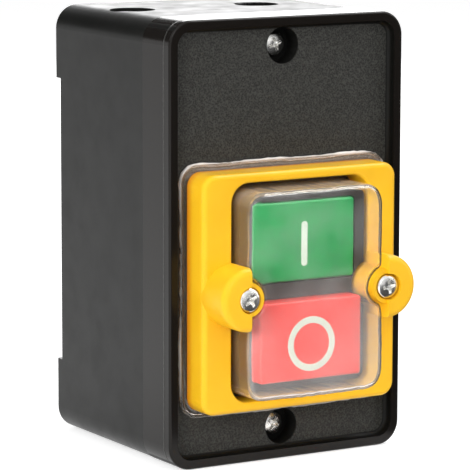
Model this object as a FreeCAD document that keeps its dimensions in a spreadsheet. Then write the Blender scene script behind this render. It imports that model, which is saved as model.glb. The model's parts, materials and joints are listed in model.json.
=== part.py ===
import FreeCAD, Part
import math
import os
import re
import Sketcher
from FreeCAD import Placement, Rotation, Vector

# Enclosed two-button machine switch, in millimetres.
# X runs across the front, Y runs from the front to the back, Z runs up.
# The origin is under the middle of the object, on the surface that it stands on.
# It is shown as in use: green button latched in, red button standing out.

SIZES = [
    # Enclosure
    ("case_width", 76.0, "width of the front cover"),
    ("case_height", 125.0, "height of the front cover"),
    ("case_corner", 6.8, "corner radius of the cover seen from the front"),
    ("body_depth", 67.0, "from the cover's rim to the back of the mounting pads"),
    ("front_reach", 18.0, "from the cover's rim to the front of the bezel's lugs"),
    ("cover_depth", 15.0, "from the cover's rim to the seam with the rear box"),
    ("seam_step", 0.15, "how far the rear box stands inside the cover's sides"),
    ("box_wall", 2.5, "wall of the rear box"),
    ("pad_height", 21.0, "height of the mounting pad at each end of the back"),
    ("pad_depth", 3.2, "how far the mounting pads stand out from the back"),
    ("pad_step_round", 0.8, "edge radius round the back"),
    ("mount_from_side", 13.0, "mounting holes, from the sides"),
    ("mount_from_end", 12.0, "mounting holes, from the foot and from the top"),
    ("mount_hole_radius", 2.25, "mounting hole radius"),
    ("entry_radius", 6.5, "cable entry radius"),
    ("entry_left_inset", 11.5, "left cable entry, from the left side"),
    ("entry_right_inset", 23.5, "right cable entry, from the right side"),
    ("entry_behind_rim", 41.3, "cable entries, from the cover's rim"),
    # Front cover
    ("rim_width", 2.6, "raised rim of the cover"),
    ("recess_depth", 3.0, "depth of the grained panel below the rim"),
    ("rim_round", 0.7, "outer edge radius of the rim"),
    ("recess_corner", 4.6, "corner radius of the recessed panel"),
    ("recess_round", 1.4, "radius at the foot of the rim"),
    ("plate_thick", 2.6, "thickness of the front plate"),
    ("cover_wall", 2.6, "thickness of the cover's sides"),
    ("well_radius", 5.2, "radius of the wells for the cover screws"),
    ("well_depth", 5.9, "depth of the wells below the panel"),
    ("cover_screw_from_foot", 8.6, "lower cover screw, from the foot"),
    ("cover_screw_from_top", 8.4, "upper cover screw, from the top"),
    ("cover_post_radius", 6.9, "post round each well"),
    ("box_post_radius", 4.5, "screw post in the rear box"),
    ("cover_screw_length", 18.0, "length of a cover screw under its head"),
    ("gasket_width", 1.2, "width of the seam gasket"),
    ("gasket_thick", 0.8, "thickness of the seam gasket"),
    # Bezel and membrane
    ("bezel_foot", 16.1, "lower edge of the bezel, from the foot"),
    ("bezel_inset", 6.5, "bezel, from the cover's sides"),
    ("bezel_tall", 67.0, "height of the bezel"),
    ("bezel_corner", 4.0, "corner radius of the bezel"),
    ("bezel_thick", 9.0, "thickness of the bezel"),
    ("bezel_round", 1.5, "outer edge radius of the bezel"),
    ("opening_width", 44.8, "width of the bezel's opening"),
    ("bezel_end", 2.8, "bezel above and below its opening"),
    ("opening_corner", 5.6, "corner radius of the bezel's opening"),
    ("opening_round", 0.7, "edge radius of the bezel's opening"),
    ("lug_past", 0.2, "screw lugs' centres, beyond the sides of the opening"),
    ("lug_radius", 8.9, "radius of a screw lug"),
    ("lug_clear", 0.5, "gap between the rim and the lugs, where they pass in front of it"),
    ("lug_round", 1.9, "edge radius of a screw lug"),
    ("boss_radius", 4.8, "radius of the round screw boss in each lug"),
    ("boss_drop", 1.3, "face of the boss below the lug's front"),
    ("seat_radius", 3.7, "radius of the seat for the screw's head"),
    ("seat_drop", 2.2, "seat of the screw's head below the lug's front"),
    ("bezel_screw_length", 27.0, "length of a bezel screw under its head"),
    ("flange_side", 2.2, "membrane's flange beyond the bezel's sides"),
    ("flange_end", 2.3, "membrane's flange beyond the bezel's ends"),
    ("flange_corner", 5.4, "corner radius of the membrane's flange"),
    ("flange_thick", 1.3, "thickness of the membrane's flange"),
    ("dome_side_gap", 0.5, "gap between the dome and the opening's sides"),
    ("dome_end_gap", 1.6, "gap between the dome and the opening's ends"),
    ("dome_corner", 5.0, "corner radius of the membrane's dome"),
    ("dome_height", 19.2, "height of the dome above the cover's panel"),
    ("dome_round", 1.8, "front edge radius of the dome"),
    ("film", 0.9, "wall of the dome"),
    ("notch_gap", 0.4, "gap between a screw boss and the dome's notch"),
    # Screws
    ("head_radius", 3.5, "radius of a screw's pan head"),
    ("head_height", 2.1, "height of a screw's pan head"),
    ("head_round", 0.9, "edge radius of a pan head"),
    ("shank_radius", 1.7, "radius of a cover or bezel screw"),
    ("cross_length", 3.9, "cross recess, tip to tip"),
    ("cross_width", 1.0, "cross recess, width of a wing"),
    ("cross_depth", 1.4, "cross recess, depth"),
    # Buttons
    ("button_gap", 4.9, "gap between the buttons"),
    ("button_corner", 1.0, "corner radius of a button"),
    ("button_round", 0.8, "front edge radius of a button"),
    ("button_travel", 4.0, "stroke of each button"),
    ("button_clear", 2.8, "from a button that is out to the dome"),
    ("cap_length", 16.0, "depth of a button's cap"),
    ("cap_wall", 1.8, "wall of a button's cap"),
    ("stem_width", 10.0, "width of a button's stem"),
    ("stem_tall", 6.0, "height of a button's stem"),
    ("stem_tail", 2.9, "stem behind its slot"),
    ("slot_length", 4.2, "slot in the stem, along the stem"),
    ("slide_gap", 0.3, "gap round a sliding piece"),
    # Switch body
    ("housing_side", 1.0, "switch body beyond the tower's sides"),
    ("housing_end", 2.8, "switch body beyond the tower's ends"),
    ("housing_depth", 17.9, "from the cover's plate to the joint of the switch body"),
    ("housing_corner", 1.5, "corner radius of the switch body"),
    ("ear_past", 4.4, "housing's ears beyond the bezel's screws"),
    ("ear_tall", 24.0, "height of the housing's ears"),
    ("ear_thick", 6.5, "thickness of the housing's ears"),
    ("tower_gap", 1.0, "gap between the tower and the dome"),
    ("tower_side", 3.5, "tower beside the buttons"),
    ("tower_end", 2.35, "tower above and below the buttons"),
    ("tower_corner", 2.5, "corner radius of the tower"),
    ("tower_drop", 0.5, "tower's face behind the face of the latched button"),
    ("tower_clear", 0.5, "gap round the tower"),
    ("deck_behind_plate", 6.9, "guide deck, behind the cover's plate"),
    ("deck_thick", 3.0, "thickness of the guide deck"),
    ("chamber_side_wall", 2.0, "side walls of the switch chamber"),
    ("chamber_end_wall", 5.0, "end walls of the switch chamber"),
    ("cheek_thick", 2.5, "thickness of a pivot cheek"),
    ("cheek_tall", 7.0, "height of a pivot cheek"),
    ("cheek_past_pin", 2.5, "cheek behind the pin's centre"),
    ("base_wall", 3.0, "rear wall of the switch base"),
    ("body_screw_from_side", 2.7, "body screws, from the switch body's sides"),
    ("body_screw_from_end", 2.8, "body screws, from the switch body's ends"),
    ("body_screw_radius", 1.1, "radius of a body screw"),
    ("body_screw_head", 2.1, "head radius of a body screw"),
    ("body_screw_head_height", 1.5, "head height of a body screw"),
    ("body_screw_bite", 6.0, "body screw inside the housing"),
    # Rocker
    ("pivot_behind_plate", 14.9, "rocker pin, behind the cover's plate"),
    ("pin_radius", 1.5, "radius of the rocker pin"),
    ("pin_gap", 0.05, "running gap round the rocker pin"),
    ("hub_radius", 3.2, "radius of the rocker's hub"),
    ("rocker_width", 6.0, "width of the rocker"),
    ("rocker_side_gap", 0.6, "gap at each side of the rocker"),
    ("arm_thick", 2.4, "thickness of the rocker's arms"),
    ("tip_radius", 1.7, "radius of the rocker's tips"),
    ("heel_reach", 3.8, "spring seat of the rocker, from the pin's centre"),
    ("heel_tall", 5.8, "height of the rocker's spring seat"),
    ("nib_radius", 1.2, "radius of the nib in the toggle spring"),
    ("nib_reach", 1.6, "length of the nib"),
    ("toggle_radius", 2.1, "mean coil radius of the toggle spring"),
    ("toggle_wire", 0.3, "wire radius of the toggle spring"),
    ("toggle_turns", 6.0, "turns of the toggle spring"),
    # Contacts
    ("carrier_side_gap", 2.0, "gap between the contact carrier and the chamber's sides"),
    ("carrier_end_gap", 2.05, "gap between the contact carrier and the chamber's end"),
    ("carrier_margin", 0.5, "contact carrier beyond its outer poles"),
    ("carrier_thick", 2.0, "thickness of the contact carrier"),
    ("peg_radius", 2.0, "peg of the green stem in the carrier"),
    ("leg_thick", 1.2, "thickness of a carrier leg"),
    ("leg_tall", 5.0, "height of a carrier leg"),
    ("leg_gap", 0.2, "gap between a leg and its bridge"),
    ("lip_reach", 0.9, "lip of a leg under its bridge"),
    ("lip_thick", 0.8, "thickness of a lip"),
    ("over_travel", 0.8, "gap from a bridge to the lips when closed"),
    ("bridge_gap", 5.0, "gap between the contact bridges"),
    ("bridge_past", 0.2, "contact bridge beyond the carrier's ends"),
    ("bridge_thick", 1.0, "thickness of a contact bridge"),
    ("tip_from_end", 1.8, "contact tips, from the ends of a bridge"),
    ("tip_inset", 1.0, "bridge beside a contact tip"),
    ("contact_thick", 1.0, "thickness of a contact tip"),
    ("contact_gap", 0.05, "moving tip to fixed tip at rest"),
    ("rivet_step", 0.5, "contact tip beyond its rivet"),
    ("contact_spring_length", 4.5, "length of a contact spring"),
    ("spring_inset", 0.9, "bridge beside the mean coil of its spring"),
    ("contact_spring_wire", 0.25, "wire radius of a contact spring"),
    ("contact_spring_turns", 3.0, "turns of a contact spring"),
    ("spring_steps", 10.0, "straight steps in each turn of a spring"),
    ("strip_gap", 4.0, "gap between the terminal strips"),
    ("strip_thick", 1.0, "thickness of a terminal strip"),
    ("strip_past", 3.0, "strip past its rivet and its screw"),
    ("terminal_from_end", 3.6, "terminal screws, from the switch body's ends"),
    ("clamp_inset", 0.2, "terminal strip beside its clamp"),
    ("clamp_thick", 1.2, "thickness of a terminal clamp"),
    ("terminal_head_radius", 2.9, "head radius of a terminal screw"),
    ("terminal_head_height", 2.0, "head height of a terminal screw"),
    ("terminal_shank_radius", 1.6, "radius of a terminal screw"),
    ("terminal_screw_length", 9.0, "length of a terminal screw under its head"),
    ("slot_width", 0.8, "width of a screw slot"),
    ("slot_depth", 0.9, "depth of a screw slot"),
    # Earth terminal
    ("earth_from_side", 13.0, "earth terminal, from the right side"),
    ("earth_z", 40.0, "height of the earth terminal"),
    ("earth_post_radius", 5.0, "radius of the earth terminal's post"),
    ("earth_post_length", 8.0, "length of the earth terminal's post"),
    ("earth_plate_side", 11.0, "side of the earth plate"),
    ("earth_plate_thick", 1.5, "thickness of the earth plate"),
    ("earth_screw_length", 7.5, "length of the earth screw under its head"),
    # Drawing allowance
    ("through", 1.0, "how far a cut runs past the face it starts or ends at"),
]

# Sizes, places and levels along Y that several pieces share, each worked out from the sizes above
DERIVED = {
    # Enclosure
    "mid_z": "case_height / 2",
    "groove_width": "case_width - cover_wall - gasket_width",
    "groove_tall": "case_height - cover_wall - gasket_width",
    "groove_corner": "case_corner - (cover_wall + gasket_width) / 2",
    "box_width": "case_width - 2 * seam_step",
    "box_height": "case_height - 2 * seam_step",
    "box_corner": "case_corner - seam_step",
    "cover_screw_low": "cover_screw_from_foot",
    "cover_screw_high": "case_height - cover_screw_from_top",
    "mount_x": "case_width / 2 - mount_from_side",
    "mount_low": "mount_from_end",
    "mount_high": "case_height - mount_from_end",
    "entry_left_x": "entry_left_inset - case_width / 2",
    "entry_right_x": "case_width / 2 - entry_right_inset",
    "earth_x": "case_width / 2 - earth_from_side",
    # Button panel, from the bezel inwards
    "panel_height": "bezel_foot + bezel_tall / 2",
    "bezel_width": "case_width - 2 * bezel_inset",
    "opening_tall": "bezel_tall - 2 * bezel_end",
    "lug_x": "opening_width / 2 + lug_past",
    "notch_radius": "boss_radius + notch_gap",
    "flange_width": "bezel_width + 2 * flange_side",
    "flange_tall": "bezel_tall + 2 * flange_end",
    "dome_width": "opening_width - 2 * dome_side_gap",
    "dome_tall": "opening_tall - 2 * dome_end_gap",
    "tower_width": "dome_width - 2 * film - 2 * tower_gap",
    "tower_tall": "dome_tall - 2 * film - 2 * tower_gap",
    "button_width": "tower_width - 2 * tower_side",
    "button_tall": "(tower_tall - 2 * tower_end - button_gap) / 2",
    "button_span": "button_tall + button_gap",
    "button_reach": "dome_height - film - button_clear",
    "green_z": "panel_height + button_span / 2",
    "red_z": "panel_height - button_span / 2",
    # Switch body
    "housing_width": "tower_width + 2 * housing_side",
    "housing_tall": "tower_tall + 2 * housing_end",
    "ear_width": "2 * lug_x + 2 * ear_past",
    "chamber_width": "housing_width - 2 * chamber_side_wall",
    "chamber_tall": "housing_tall - 2 * chamber_end_wall",
    "body_screw_x": "housing_width / 2 - body_screw_from_side",
    "body_screw_z": "housing_tall / 2 - body_screw_from_end",
    "terminal_z": "housing_tall / 2 - terminal_from_end",
    "cheek_x": "rocker_width / 2 + rocker_side_gap + cheek_thick / 2",
    # Contacts
    "carrier_width": "chamber_width - 2 * carrier_side_gap",
    "carrier_tall": "chamber_tall - button_span - 2 * carrier_end_gap",
    "pole_span": "(carrier_width - 2 * carrier_margin) / 3",
    "bridge_width": "pole_span - bridge_gap",
    "bridge_tall": "carrier_tall + 2 * bridge_past",
    "contact_half_span": "bridge_tall / 2 - tip_from_end",
    "contact_radius": "bridge_width / 2 - tip_inset",
    "rivet_radius": "contact_radius - rivet_step",
    "contact_spring_radius": "bridge_width / 2 - spring_inset",
    "strip_width": "pole_span - strip_gap",
    "clamp_side": "strip_width - 2 * clamp_inset",
    "leg_x": "bridge_width / 2 + leg_gap + leg_thick / 2",
    # Levels along Y
    "rim_y": "(front_reach - body_depth) / 2",
    "pads_y": "(front_reach + body_depth) / 2",
    "lug_y": "rim_y - front_reach",
    "lug_root_y": "rim_y - lug_clear",
    "floor_y": "rim_y + recess_depth",
    "plate_y": "floor_y + plate_thick",
    "seam_y": "rim_y + cover_depth",
    "back_y": "pads_y - pad_depth",
    "inner_back_y": "back_y - box_wall",
    "flange_y": "floor_y - flange_thick",
    "bezel_y": "flange_y - bezel_thick",
    "dome_y": "floor_y - dome_height",
    "boss_y": "lug_y + boss_drop",
    "seat_y": "lug_y + seat_drop",
    "well_y": "floor_y + well_depth",
    "entry_y": "rim_y + entry_behind_rim",
    "earth_y": "inner_back_y - earth_post_length",
    "deck_y": "plate_y + deck_behind_plate",
    "deck_back_y": "deck_y + deck_thick",
    "joint_y": "plate_y + housing_depth",
    "pivot_y": "plate_y + pivot_behind_plate",
    "cheek_y": "pivot_y + cheek_past_pin",
    "red_face_y": "floor_y - button_reach",
    "green_face_y": "red_face_y + button_travel",
    "tower_y": "green_face_y + tower_drop",
    "red_slot_y": "pivot_y - button_travel / 2",
    "green_slot_y": "pivot_y + button_travel / 2",
    "carrier_y": "green_slot_y + slot_length / 2 + stem_tail",
    "carrier_back_y": "carrier_y + carrier_thick",
    "bridge_y": "carrier_back_y + contact_spring_length",
    "bridge_back_y": "bridge_y + bridge_thick",
    "lip_y": "bridge_back_y + over_travel",
    "touch_y": "bridge_back_y + contact_thick",
    "rivet_y": "touch_y + contact_gap",
    "base_y": "rivet_y + contact_thick",
    "base_back_y": "base_y + base_wall",
    "strip_back_y": "base_back_y + strip_thick",
    "clamp_back_y": "strip_back_y + clamp_thick",
}

doc = FreeCAD.newDocument("two_button_switch")
sizes = doc.addObject("Spreadsheet::Sheet", "sizes")
for row, (alias, value, meaning) in enumerate(SIZES, start=1):
    sizes.set("A%d" % row, meaning)
    sizes.set("B%d" % row, str(value))
    sizes.setAlias("B%d" % row, alias)
doc.recompute()

ALIASES = {alias for alias, value, meaning in SIZES}
NAME = re.compile(r"[a-z_]+")


def formula(text):
    """The same formula with everything derived written out and every size bound to its cell."""
    def swap(match):
        word = match.group(0)
        if word in DERIVED:
            return "(" + formula(DERIVED[word]) + ")"
        return "sizes." + word if word in ALIASES else word
    return NAME.sub(swap, text)


def number(text):
    """Value of a formula in millimetres, or in degrees where it is an angle."""
    value = sizes.evalExpression(formula(text))
    return float(value.Value) if hasattr(value, "Value") else float(value)


# Drawing helpers

def new_body(label):
    body = doc.addObject("PartDesign::Body", label)
    body.Label = label
    return body


def sketch_in(body, role, first, second, out):
    """A sketch on one of the body's origin planes, moved in its plane and along its normal."""
    plane = [o for o in body.Origin.OriginFeatures if o.Role == role][0]
    sketch = body.newObject("Sketcher::SketchObject", body.Label + "_sketch")
    sketch.AttachmentSupport = [(plane, "")]
    sketch.MapMode = "FlatFace"
    sketch.setExpression("AttachmentOffset.Base.x", formula(first))
    sketch.setExpression("AttachmentOffset.Base.y", formula(second))
    sketch.setExpression("AttachmentOffset.Base.z", formula(out))
    return sketch


def front_sketch(body, x, z, y):
    return sketch_in(body, "XZ_Plane", x, z, "-(" + y + ")")


def case_sketch(body, y):
    """A front sketch centred on the case."""
    return front_sketch(body, "0", "mid_z", y)


def panel_sketch(body, y):
    """A front sketch centred on the button panel."""
    return front_sketch(body, "0", "panel_height", y)


def top_sketch(body, x, y, z):
    return sketch_in(body, "XY_Plane", x, y, z)


def side_sketch(body, y, z, x):
    return sketch_in(body, "YZ_Plane", y, z, x)


def tie(sketch, names):
    """Bind the last constraints of the sketch to formulas."""
    first = len(sketch.Constraints) - len(names)
    for step, (name, text) in enumerate(names):
        sketch.renameConstraint(first + step, name)
        sketch.setExpression("Constraints." + name, formula(text))


def draw_rectangle(sketch, width, tall):
    a, b = number(width) / 2, number(tall) / 2
    corners = [Vector(-a, -b, 0), Vector(a, -b, 0), Vector(a, b, 0), Vector(-a, b, 0)]
    sketch.addGeometry([Part.LineSegment(corners[i], corners[(i + 1) % 4]) for i in range(4)], False)
    rule = Sketcher.Constraint
    rules = [rule("Coincident", i, 2, (i + 1) % 4, 1) for i in range(4)]
    rules += [rule("Horizontal", 0), rule("Vertical", 1), rule("Horizontal", 2), rule("Vertical", 3)]
    rules += [rule("Symmetric", 0, 1, 1, 2, -1, 1)]
    rules += [rule("DistanceX", 0, 1, 0, 2, 2 * a), rule("DistanceY", 1, 1, 1, 2, 2 * b)]
    sketch.addConstraint(rules)
    tie(sketch, [("width", width), ("tall", tall)])
    return sketch


def draw_rounded(sketch, width, tall, radius):
    a, b, r = number(width) / 2, number(tall) / 2, number(radius)
    up = Vector(0, 0, 1)
    c, d = a - r, b - r
    lines = [(-c, -b, c, -b), (a, -d, a, d), (c, b, -c, b), (-a, d, -a, -d)]
    centres = [(c, -d), (c, d), (-c, d), (-c, -d)]
    shapes = [Part.LineSegment(Vector(x0, y0, 0), Vector(x1, y1, 0)) for x0, y0, x1, y1 in lines]
    for i, (x, y) in enumerate(centres):
        start = (i - 1) * math.pi / 2
        shapes.append(Part.ArcOfCircle(Part.Circle(Vector(x, y, 0), up, r), start, start + math.pi / 2))
    sketch.addGeometry(shapes, False)
    rule = Sketcher.Constraint
    rules = [rule("Horizontal", 0), rule("Vertical", 1), rule("Horizontal", 2), rule("Vertical", 3)]
    for i in range(4):
        rules += [rule("Tangent", i, 2, 4 + i, 1), rule("Tangent", 4 + i, 2, (i + 1) % 4, 1)]
    rules += [rule("Equal", 4, 5), rule("Equal", 5, 6), rule("Equal", 6, 7)]
    rules += [rule("Symmetric", 0, 1, 2, 1, -1, 1)]
    rules += [rule("DistanceX", 3, 1, 1, 1, 2 * a), rule("DistanceY", 0, 1, 2, 1, 2 * b)]
    rules += [rule("Radius", 4, r)]
    sketch.addConstraint(rules)
    tie(sketch, [("width", width), ("tall", tall), ("corner", radius)])
    return sketch


def draw_circle(sketch, radius):
    r = number(radius)
    sketch.addGeometry(Part.Circle(Vector(0, 0, 0), Vector(0, 0, 1), r), False)
    rule = Sketcher.Constraint
    sketch.addConstraint([rule("Coincident", 0, 3, -1, 1), rule("Radius", 0, r)])
    tie(sketch, [("radius", radius)])
    return sketch


def grow(body, sketch, length, backwards=False):
    """Add material from the sketch towards the front, or towards the back."""
    pad = body.newObject("PartDesign::Pad", body.Label + "_pad")
    pad.Profile = sketch
    pad.Reversed = backwards
    pad.setExpression("Length", formula(length))
    return pad


def cut(body, sketch, length, forwards=False):
    """Take material from the sketch towards the back, or towards the front."""
    pocket = body.newObject("PartDesign::Pocket", body.Label + "_pocket")
    pocket.Profile = sketch
    pocket.Reversed = forwards
    pocket.setExpression("Length", formula(length))
    return pocket


def edges_of(feature, wanted):
    doc.recompute()
    return ["Edge%d" % (i + 1) for i, edge in enumerate(feature.Shape.Edges) if wanted(edge)]


def in_plane(edge, axis, level, slack=1e-4):
    box = edge.BoundBox
    low, high = getattr(box, axis + "Min"), getattr(box, axis + "Max")
    return abs(low - level) < slack and abs(high - level) < slack


def within(edge, x_half, z_low, z_high, slack=1e-4):
    box = edge.BoundBox
    inside_x = box.XMin > -x_half - slack and box.XMax < x_half + slack
    return inside_x and box.ZMin > z_low - slack and box.ZMax < z_high + slack


def round_edges(body, wanted, radius):
    base = body.Tip
    names = edges_of(base, wanted)
    fillet = body.newObject("PartDesign::Fillet", body.Label + "_fillet")
    fillet.Base = (base, names)
    fillet.setExpression("Radius", formula(radius))
    doc.recompute()
    return fillet


def span(near, far):
    """Length from one level to another further along Y."""
    return "(" + far + ") - (" + near + ")"


# Front cover: a shallow lid with a raised rim and a recessed panel

cover = new_body("front_cover")
grow(cover, draw_rounded(case_sketch(cover, "seam_y"), "case_width", "case_height", "case_corner"),
     "cover_depth")
round_edges(cover, lambda edge: in_plane(edge, "Y", number("rim_y")), "rim_round")
recess = draw_rounded(case_sketch(cover, "rim_y"), "case_width - 2 * rim_width",
                      "case_height - 2 * rim_width", "recess_corner")
cut(cover, recess, "recess_depth")
round_edges(cover, lambda edge: in_plane(edge, "Y", number("floor_y")), "recess_round")
hollow = draw_rounded(case_sketch(cover, "seam_y"), "case_width - 2 * cover_wall",
                      "case_height - 2 * cover_wall", "case_corner - cover_wall")
cut(cover, hollow, span("plate_y", "seam_y"), forwards=True)
for height in ("cover_screw_low", "cover_screw_high"):
    post = draw_circle(front_sketch(cover, "0", height, "seam_y"), "cover_post_radius")
    grow(cover, post, span("plate_y", "seam_y") + " + plate_thick / 2")
    well = draw_circle(front_sketch(cover, "0", height, "floor_y - recess_depth"), "well_radius")
    cut(cover, well, "well_depth + recess_depth")
    hole = draw_circle(front_sketch(cover, "0", height, "well_y - through"), "shank_radius")
    cut(cover, hole, span("well_y", "seam_y") + " + 2 * through")
window = draw_rounded(panel_sketch(cover, "floor_y - recess_depth"),
                      "tower_width + 2 * tower_clear", "tower_tall + 2 * tower_clear",
                      "tower_corner + tower_clear")
cut(cover, window, "plate_thick + recess_depth + through")
for side in ("-", ""):
    hole = draw_circle(front_sketch(cover, side + "lug_x", "panel_height", "floor_y - through"),
                       "shank_radius")
    cut(cover, hole, "plate_thick + 2 * through")
groove_out = draw_rounded(case_sketch(cover, "seam_y"), "groove_width + 2 * gasket_width",
                          "groove_tall + 2 * gasket_width", "groove_corner + gasket_width")
cut(cover, groove_out, "gasket_thick", forwards=True)
land = draw_rounded(case_sketch(cover, "seam_y"), "groove_width", "groove_tall", "groove_corner")
grow(cover, land, "gasket_thick")
land_hole = draw_rounded(case_sketch(cover, "seam_y"), "case_width - 2 * cover_wall",
                         "case_height - 2 * cover_wall", "case_corner - cover_wall")
cut(cover, land_hole, "gasket_thick", forwards=True)
for height in ("cover_screw_low", "cover_screw_high"):
    foot = draw_circle(front_sketch(cover, "0", height, "seam_y"), "box_post_radius")
    grow(cover, foot, "gasket_thick")
    hole = draw_circle(front_sketch(cover, "0", height, "well_y"), "shank_radius")
    cut(cover, hole, span("well_y", "seam_y") + " + through")

# Seam gasket, in its groove between the cover and the rear box

gasket = new_body("cover_gasket")
ring_out = draw_rounded(case_sketch(gasket, "seam_y"), "groove_width + 2 * gasket_width",
                        "groove_tall + 2 * gasket_width", "groove_corner + gasket_width")
grow(gasket, ring_out, "gasket_thick")
ring_in = draw_rounded(case_sketch(gasket, "seam_y - gasket_thick - through"), "groove_width",
                       "groove_tall", "groove_corner")
cut(gasket, ring_in, "gasket_thick + 2 * through")

# Rear box: deep, with a pad across each end of its back and two cable entries in its top

box = new_body("rear_box")
grow(box, draw_rounded(case_sketch(box, "pads_y"), "box_width", "box_height", "box_corner"),
     span("seam_y", "pads_y"))
round_edges(box, lambda edge: in_plane(edge, "Y", number("pads_y")), "pad_step_round")
relief = draw_rectangle(case_sketch(box, "pads_y"), "case_width + 2 * through",
                        "box_height - 2 * pad_height")
cut(box, relief, "pad_depth", forwards=True)
cavity = draw_rounded(case_sketch(box, "seam_y"), "box_width - 2 * box_wall",
                      "box_height - 2 * box_wall", "box_corner - box_wall")
cut(box, cavity, span("seam_y", "inner_back_y"))
for height in ("cover_screw_low", "cover_screw_high"):
    post = draw_circle(front_sketch(box, "0", height, "inner_back_y + box_wall / 2"), "box_post_radius")
    grow(box, post, span("seam_y", "inner_back_y + box_wall / 2"))
    pilot = draw_circle(front_sketch(box, "0", height, "seam_y"), "shank_radius")
    cut(box, pilot, "well_y + cover_screw_length - (seam_y)")
for place in ("entry_left_x", "entry_right_x"):
    entry = draw_circle(top_sketch(box, place, "entry_y", "case_height"), "entry_radius")
    cut(box, entry, "box_wall + seam_step + through")
for side in ("-", ""):
    for height in ("mount_low", "mount_high"):
        hole = draw_circle(front_sketch(box, side + "mount_x", height, "inner_back_y - through"),
                           "mount_hole_radius")
        cut(box, hole, span("inner_back_y", "pads_y") + " + 2 * through")
earth_post = draw_circle(front_sketch(box, "earth_x", "earth_z", "inner_back_y + box_wall / 2"),
                         "earth_post_radius")
grow(box, earth_post, span("earth_y", "inner_back_y + box_wall / 2"))
earth_hole = draw_circle(front_sketch(box, "earth_x", "earth_z", "earth_y"), "shank_radius")
cut(box, earth_hole, "earth_screw_length - earth_plate_thick")

# Bezel: a thick frame with two tall half-round lugs for its screws

bezel = new_body("bezel")
grow(bezel, draw_rounded(panel_sketch(bezel, "flange_y"), "bezel_width", "bezel_tall",
                         "bezel_corner"), "bezel_thick")
round_edges(bezel, lambda edge: in_plane(edge, "Y", number("bezel_y")), "bezel_round")
for side in ("-", ""):
    lug = draw_circle(front_sketch(bezel, side + "lug_x", "panel_height", "lug_root_y"), "lug_radius")
    grow(bezel, lug, span("lug_y", "lug_root_y"))
round_edges(bezel, lambda edge: in_plane(edge, "Y", number("lug_y")), "lug_round")
opening = draw_rounded(panel_sketch(bezel, "lug_y - through"), "opening_width",
                       "opening_tall", "opening_corner")
cut(bezel, opening, span("lug_y", "flange_y") + " + 2 * through")
round_edges(bezel, lambda edge: in_plane(edge, "Y", number("bezel_y"))
            and within(edge, number("opening_width / 2"), number("panel_height - opening_tall / 2"),
                       number("panel_height + opening_tall / 2"))
            and not within(edge, number("bezel_width"), number("panel_height - lug_radius"),
                           number("panel_height + lug_radius")), "opening_round")
for side in ("-", ""):
    place = side + "lug_x"
    boss = draw_circle(front_sketch(bezel, place, "panel_height", "flange_y"), "boss_radius")
    grow(bezel, boss, span("boss_y", "flange_y"))
    seat = draw_circle(front_sketch(bezel, place, "panel_height", "lug_y - through"), "seat_radius")
    cut(bezel, seat, "seat_drop + through")
    hole = draw_circle(front_sketch(bezel, place, "panel_height", "lug_y - through"), "shank_radius")
    cut(bezel, hole, span("lug_y", "flange_y") + " + 2 * through")

# Clear membrane: a flange clamped under the bezel and a dome over both buttons,
# notched at each side round the bezel's screw bosses


def draw_cap_segment(sketch, radius, edge_at, side):
    """The part of a disc, centred on a lug screw, that lies inside the dome's side."""
    r, chord = number(radius), number("lug_x - (" + edge_at + ")")
    half = math.sqrt(r * r - chord * chord)
    angle = math.atan2(half, -chord)
    if side < 0:
        chord, arc_from, arc_to = -chord, angle - math.pi, math.pi - angle
    else:
        arc_from, arc_to = angle, 2 * math.pi - angle
    arc = Part.ArcOfCircle(Part.Circle(Vector(0, 0, 0), Vector(0, 0, 1), r), arc_from, arc_to)
    line = Part.LineSegment(arc.EndPoint, arc.StartPoint)
    sketch.addGeometry([arc, line], False)
    rule = Sketcher.Constraint
    across = (1, 1, -1, 1) if side > 0 else (-1, 1, 1, 1)
    rules = [rule("Coincident", 0, 2, 1, 1), rule("Coincident", 1, 2, 0, 1), rule("Vertical", 1)]
    rules += [rule("Coincident", 0, 3, -1, 1), rule("Radius", 0, r)]
    rules += [rule("DistanceX", *across, abs(chord))]
    sketch.addConstraint(rules)
    tie(sketch, [("radius", radius), ("chord", "lug_x - (" + edge_at + ")")])
    return sketch


membrane = new_body("membrane")
grow(membrane, draw_rounded(panel_sketch(membrane, "floor_y"), "flange_width", "flange_tall",
                            "flange_corner"), "flange_thick")
grow(membrane, draw_rounded(panel_sketch(membrane, "flange_y"), "dome_width", "dome_tall",
                            "dome_corner"), span("dome_y", "flange_y"))
round_edges(membrane, lambda edge: in_plane(edge, "Y", number("dome_y")), "dome_round")
inside = draw_rounded(panel_sketch(membrane, "floor_y"), "dome_width - 2 * film",
                      "dome_tall - 2 * film", "dome_corner - film")
cut(membrane, inside, span("dome_y + film", "floor_y"), forwards=True)
round_edges(membrane, lambda edge: in_plane(edge, "Y", number("dome_y + film")), "dome_round - film / 2")
for side, sign in (("-", -1), ("", 1)):
    wall = front_sketch(membrane, side + "lug_x", "panel_height", "floor_y")
    draw_cap_segment(wall, "notch_radius + film", "dome_width / 2 - film / 2", sign)
    grow(membrane, wall, span("dome_y + dome_round", "floor_y"))
for side in ("-", ""):
    notch = draw_circle(front_sketch(membrane, side + "lug_x", "panel_height", "dome_y - through"),
                        "notch_radius")
    cut(membrane, notch, span("dome_y", "flange_y") + " + through")
    hole = draw_circle(front_sketch(membrane, side + "lug_x", "panel_height", "flange_y - through"),
                       "shank_radius")
    cut(membrane, hole, "flange_thick + 2 * through")

# Switch housing: ears behind the cover's plate, a tower through it and a deck that guides the stems

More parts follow.
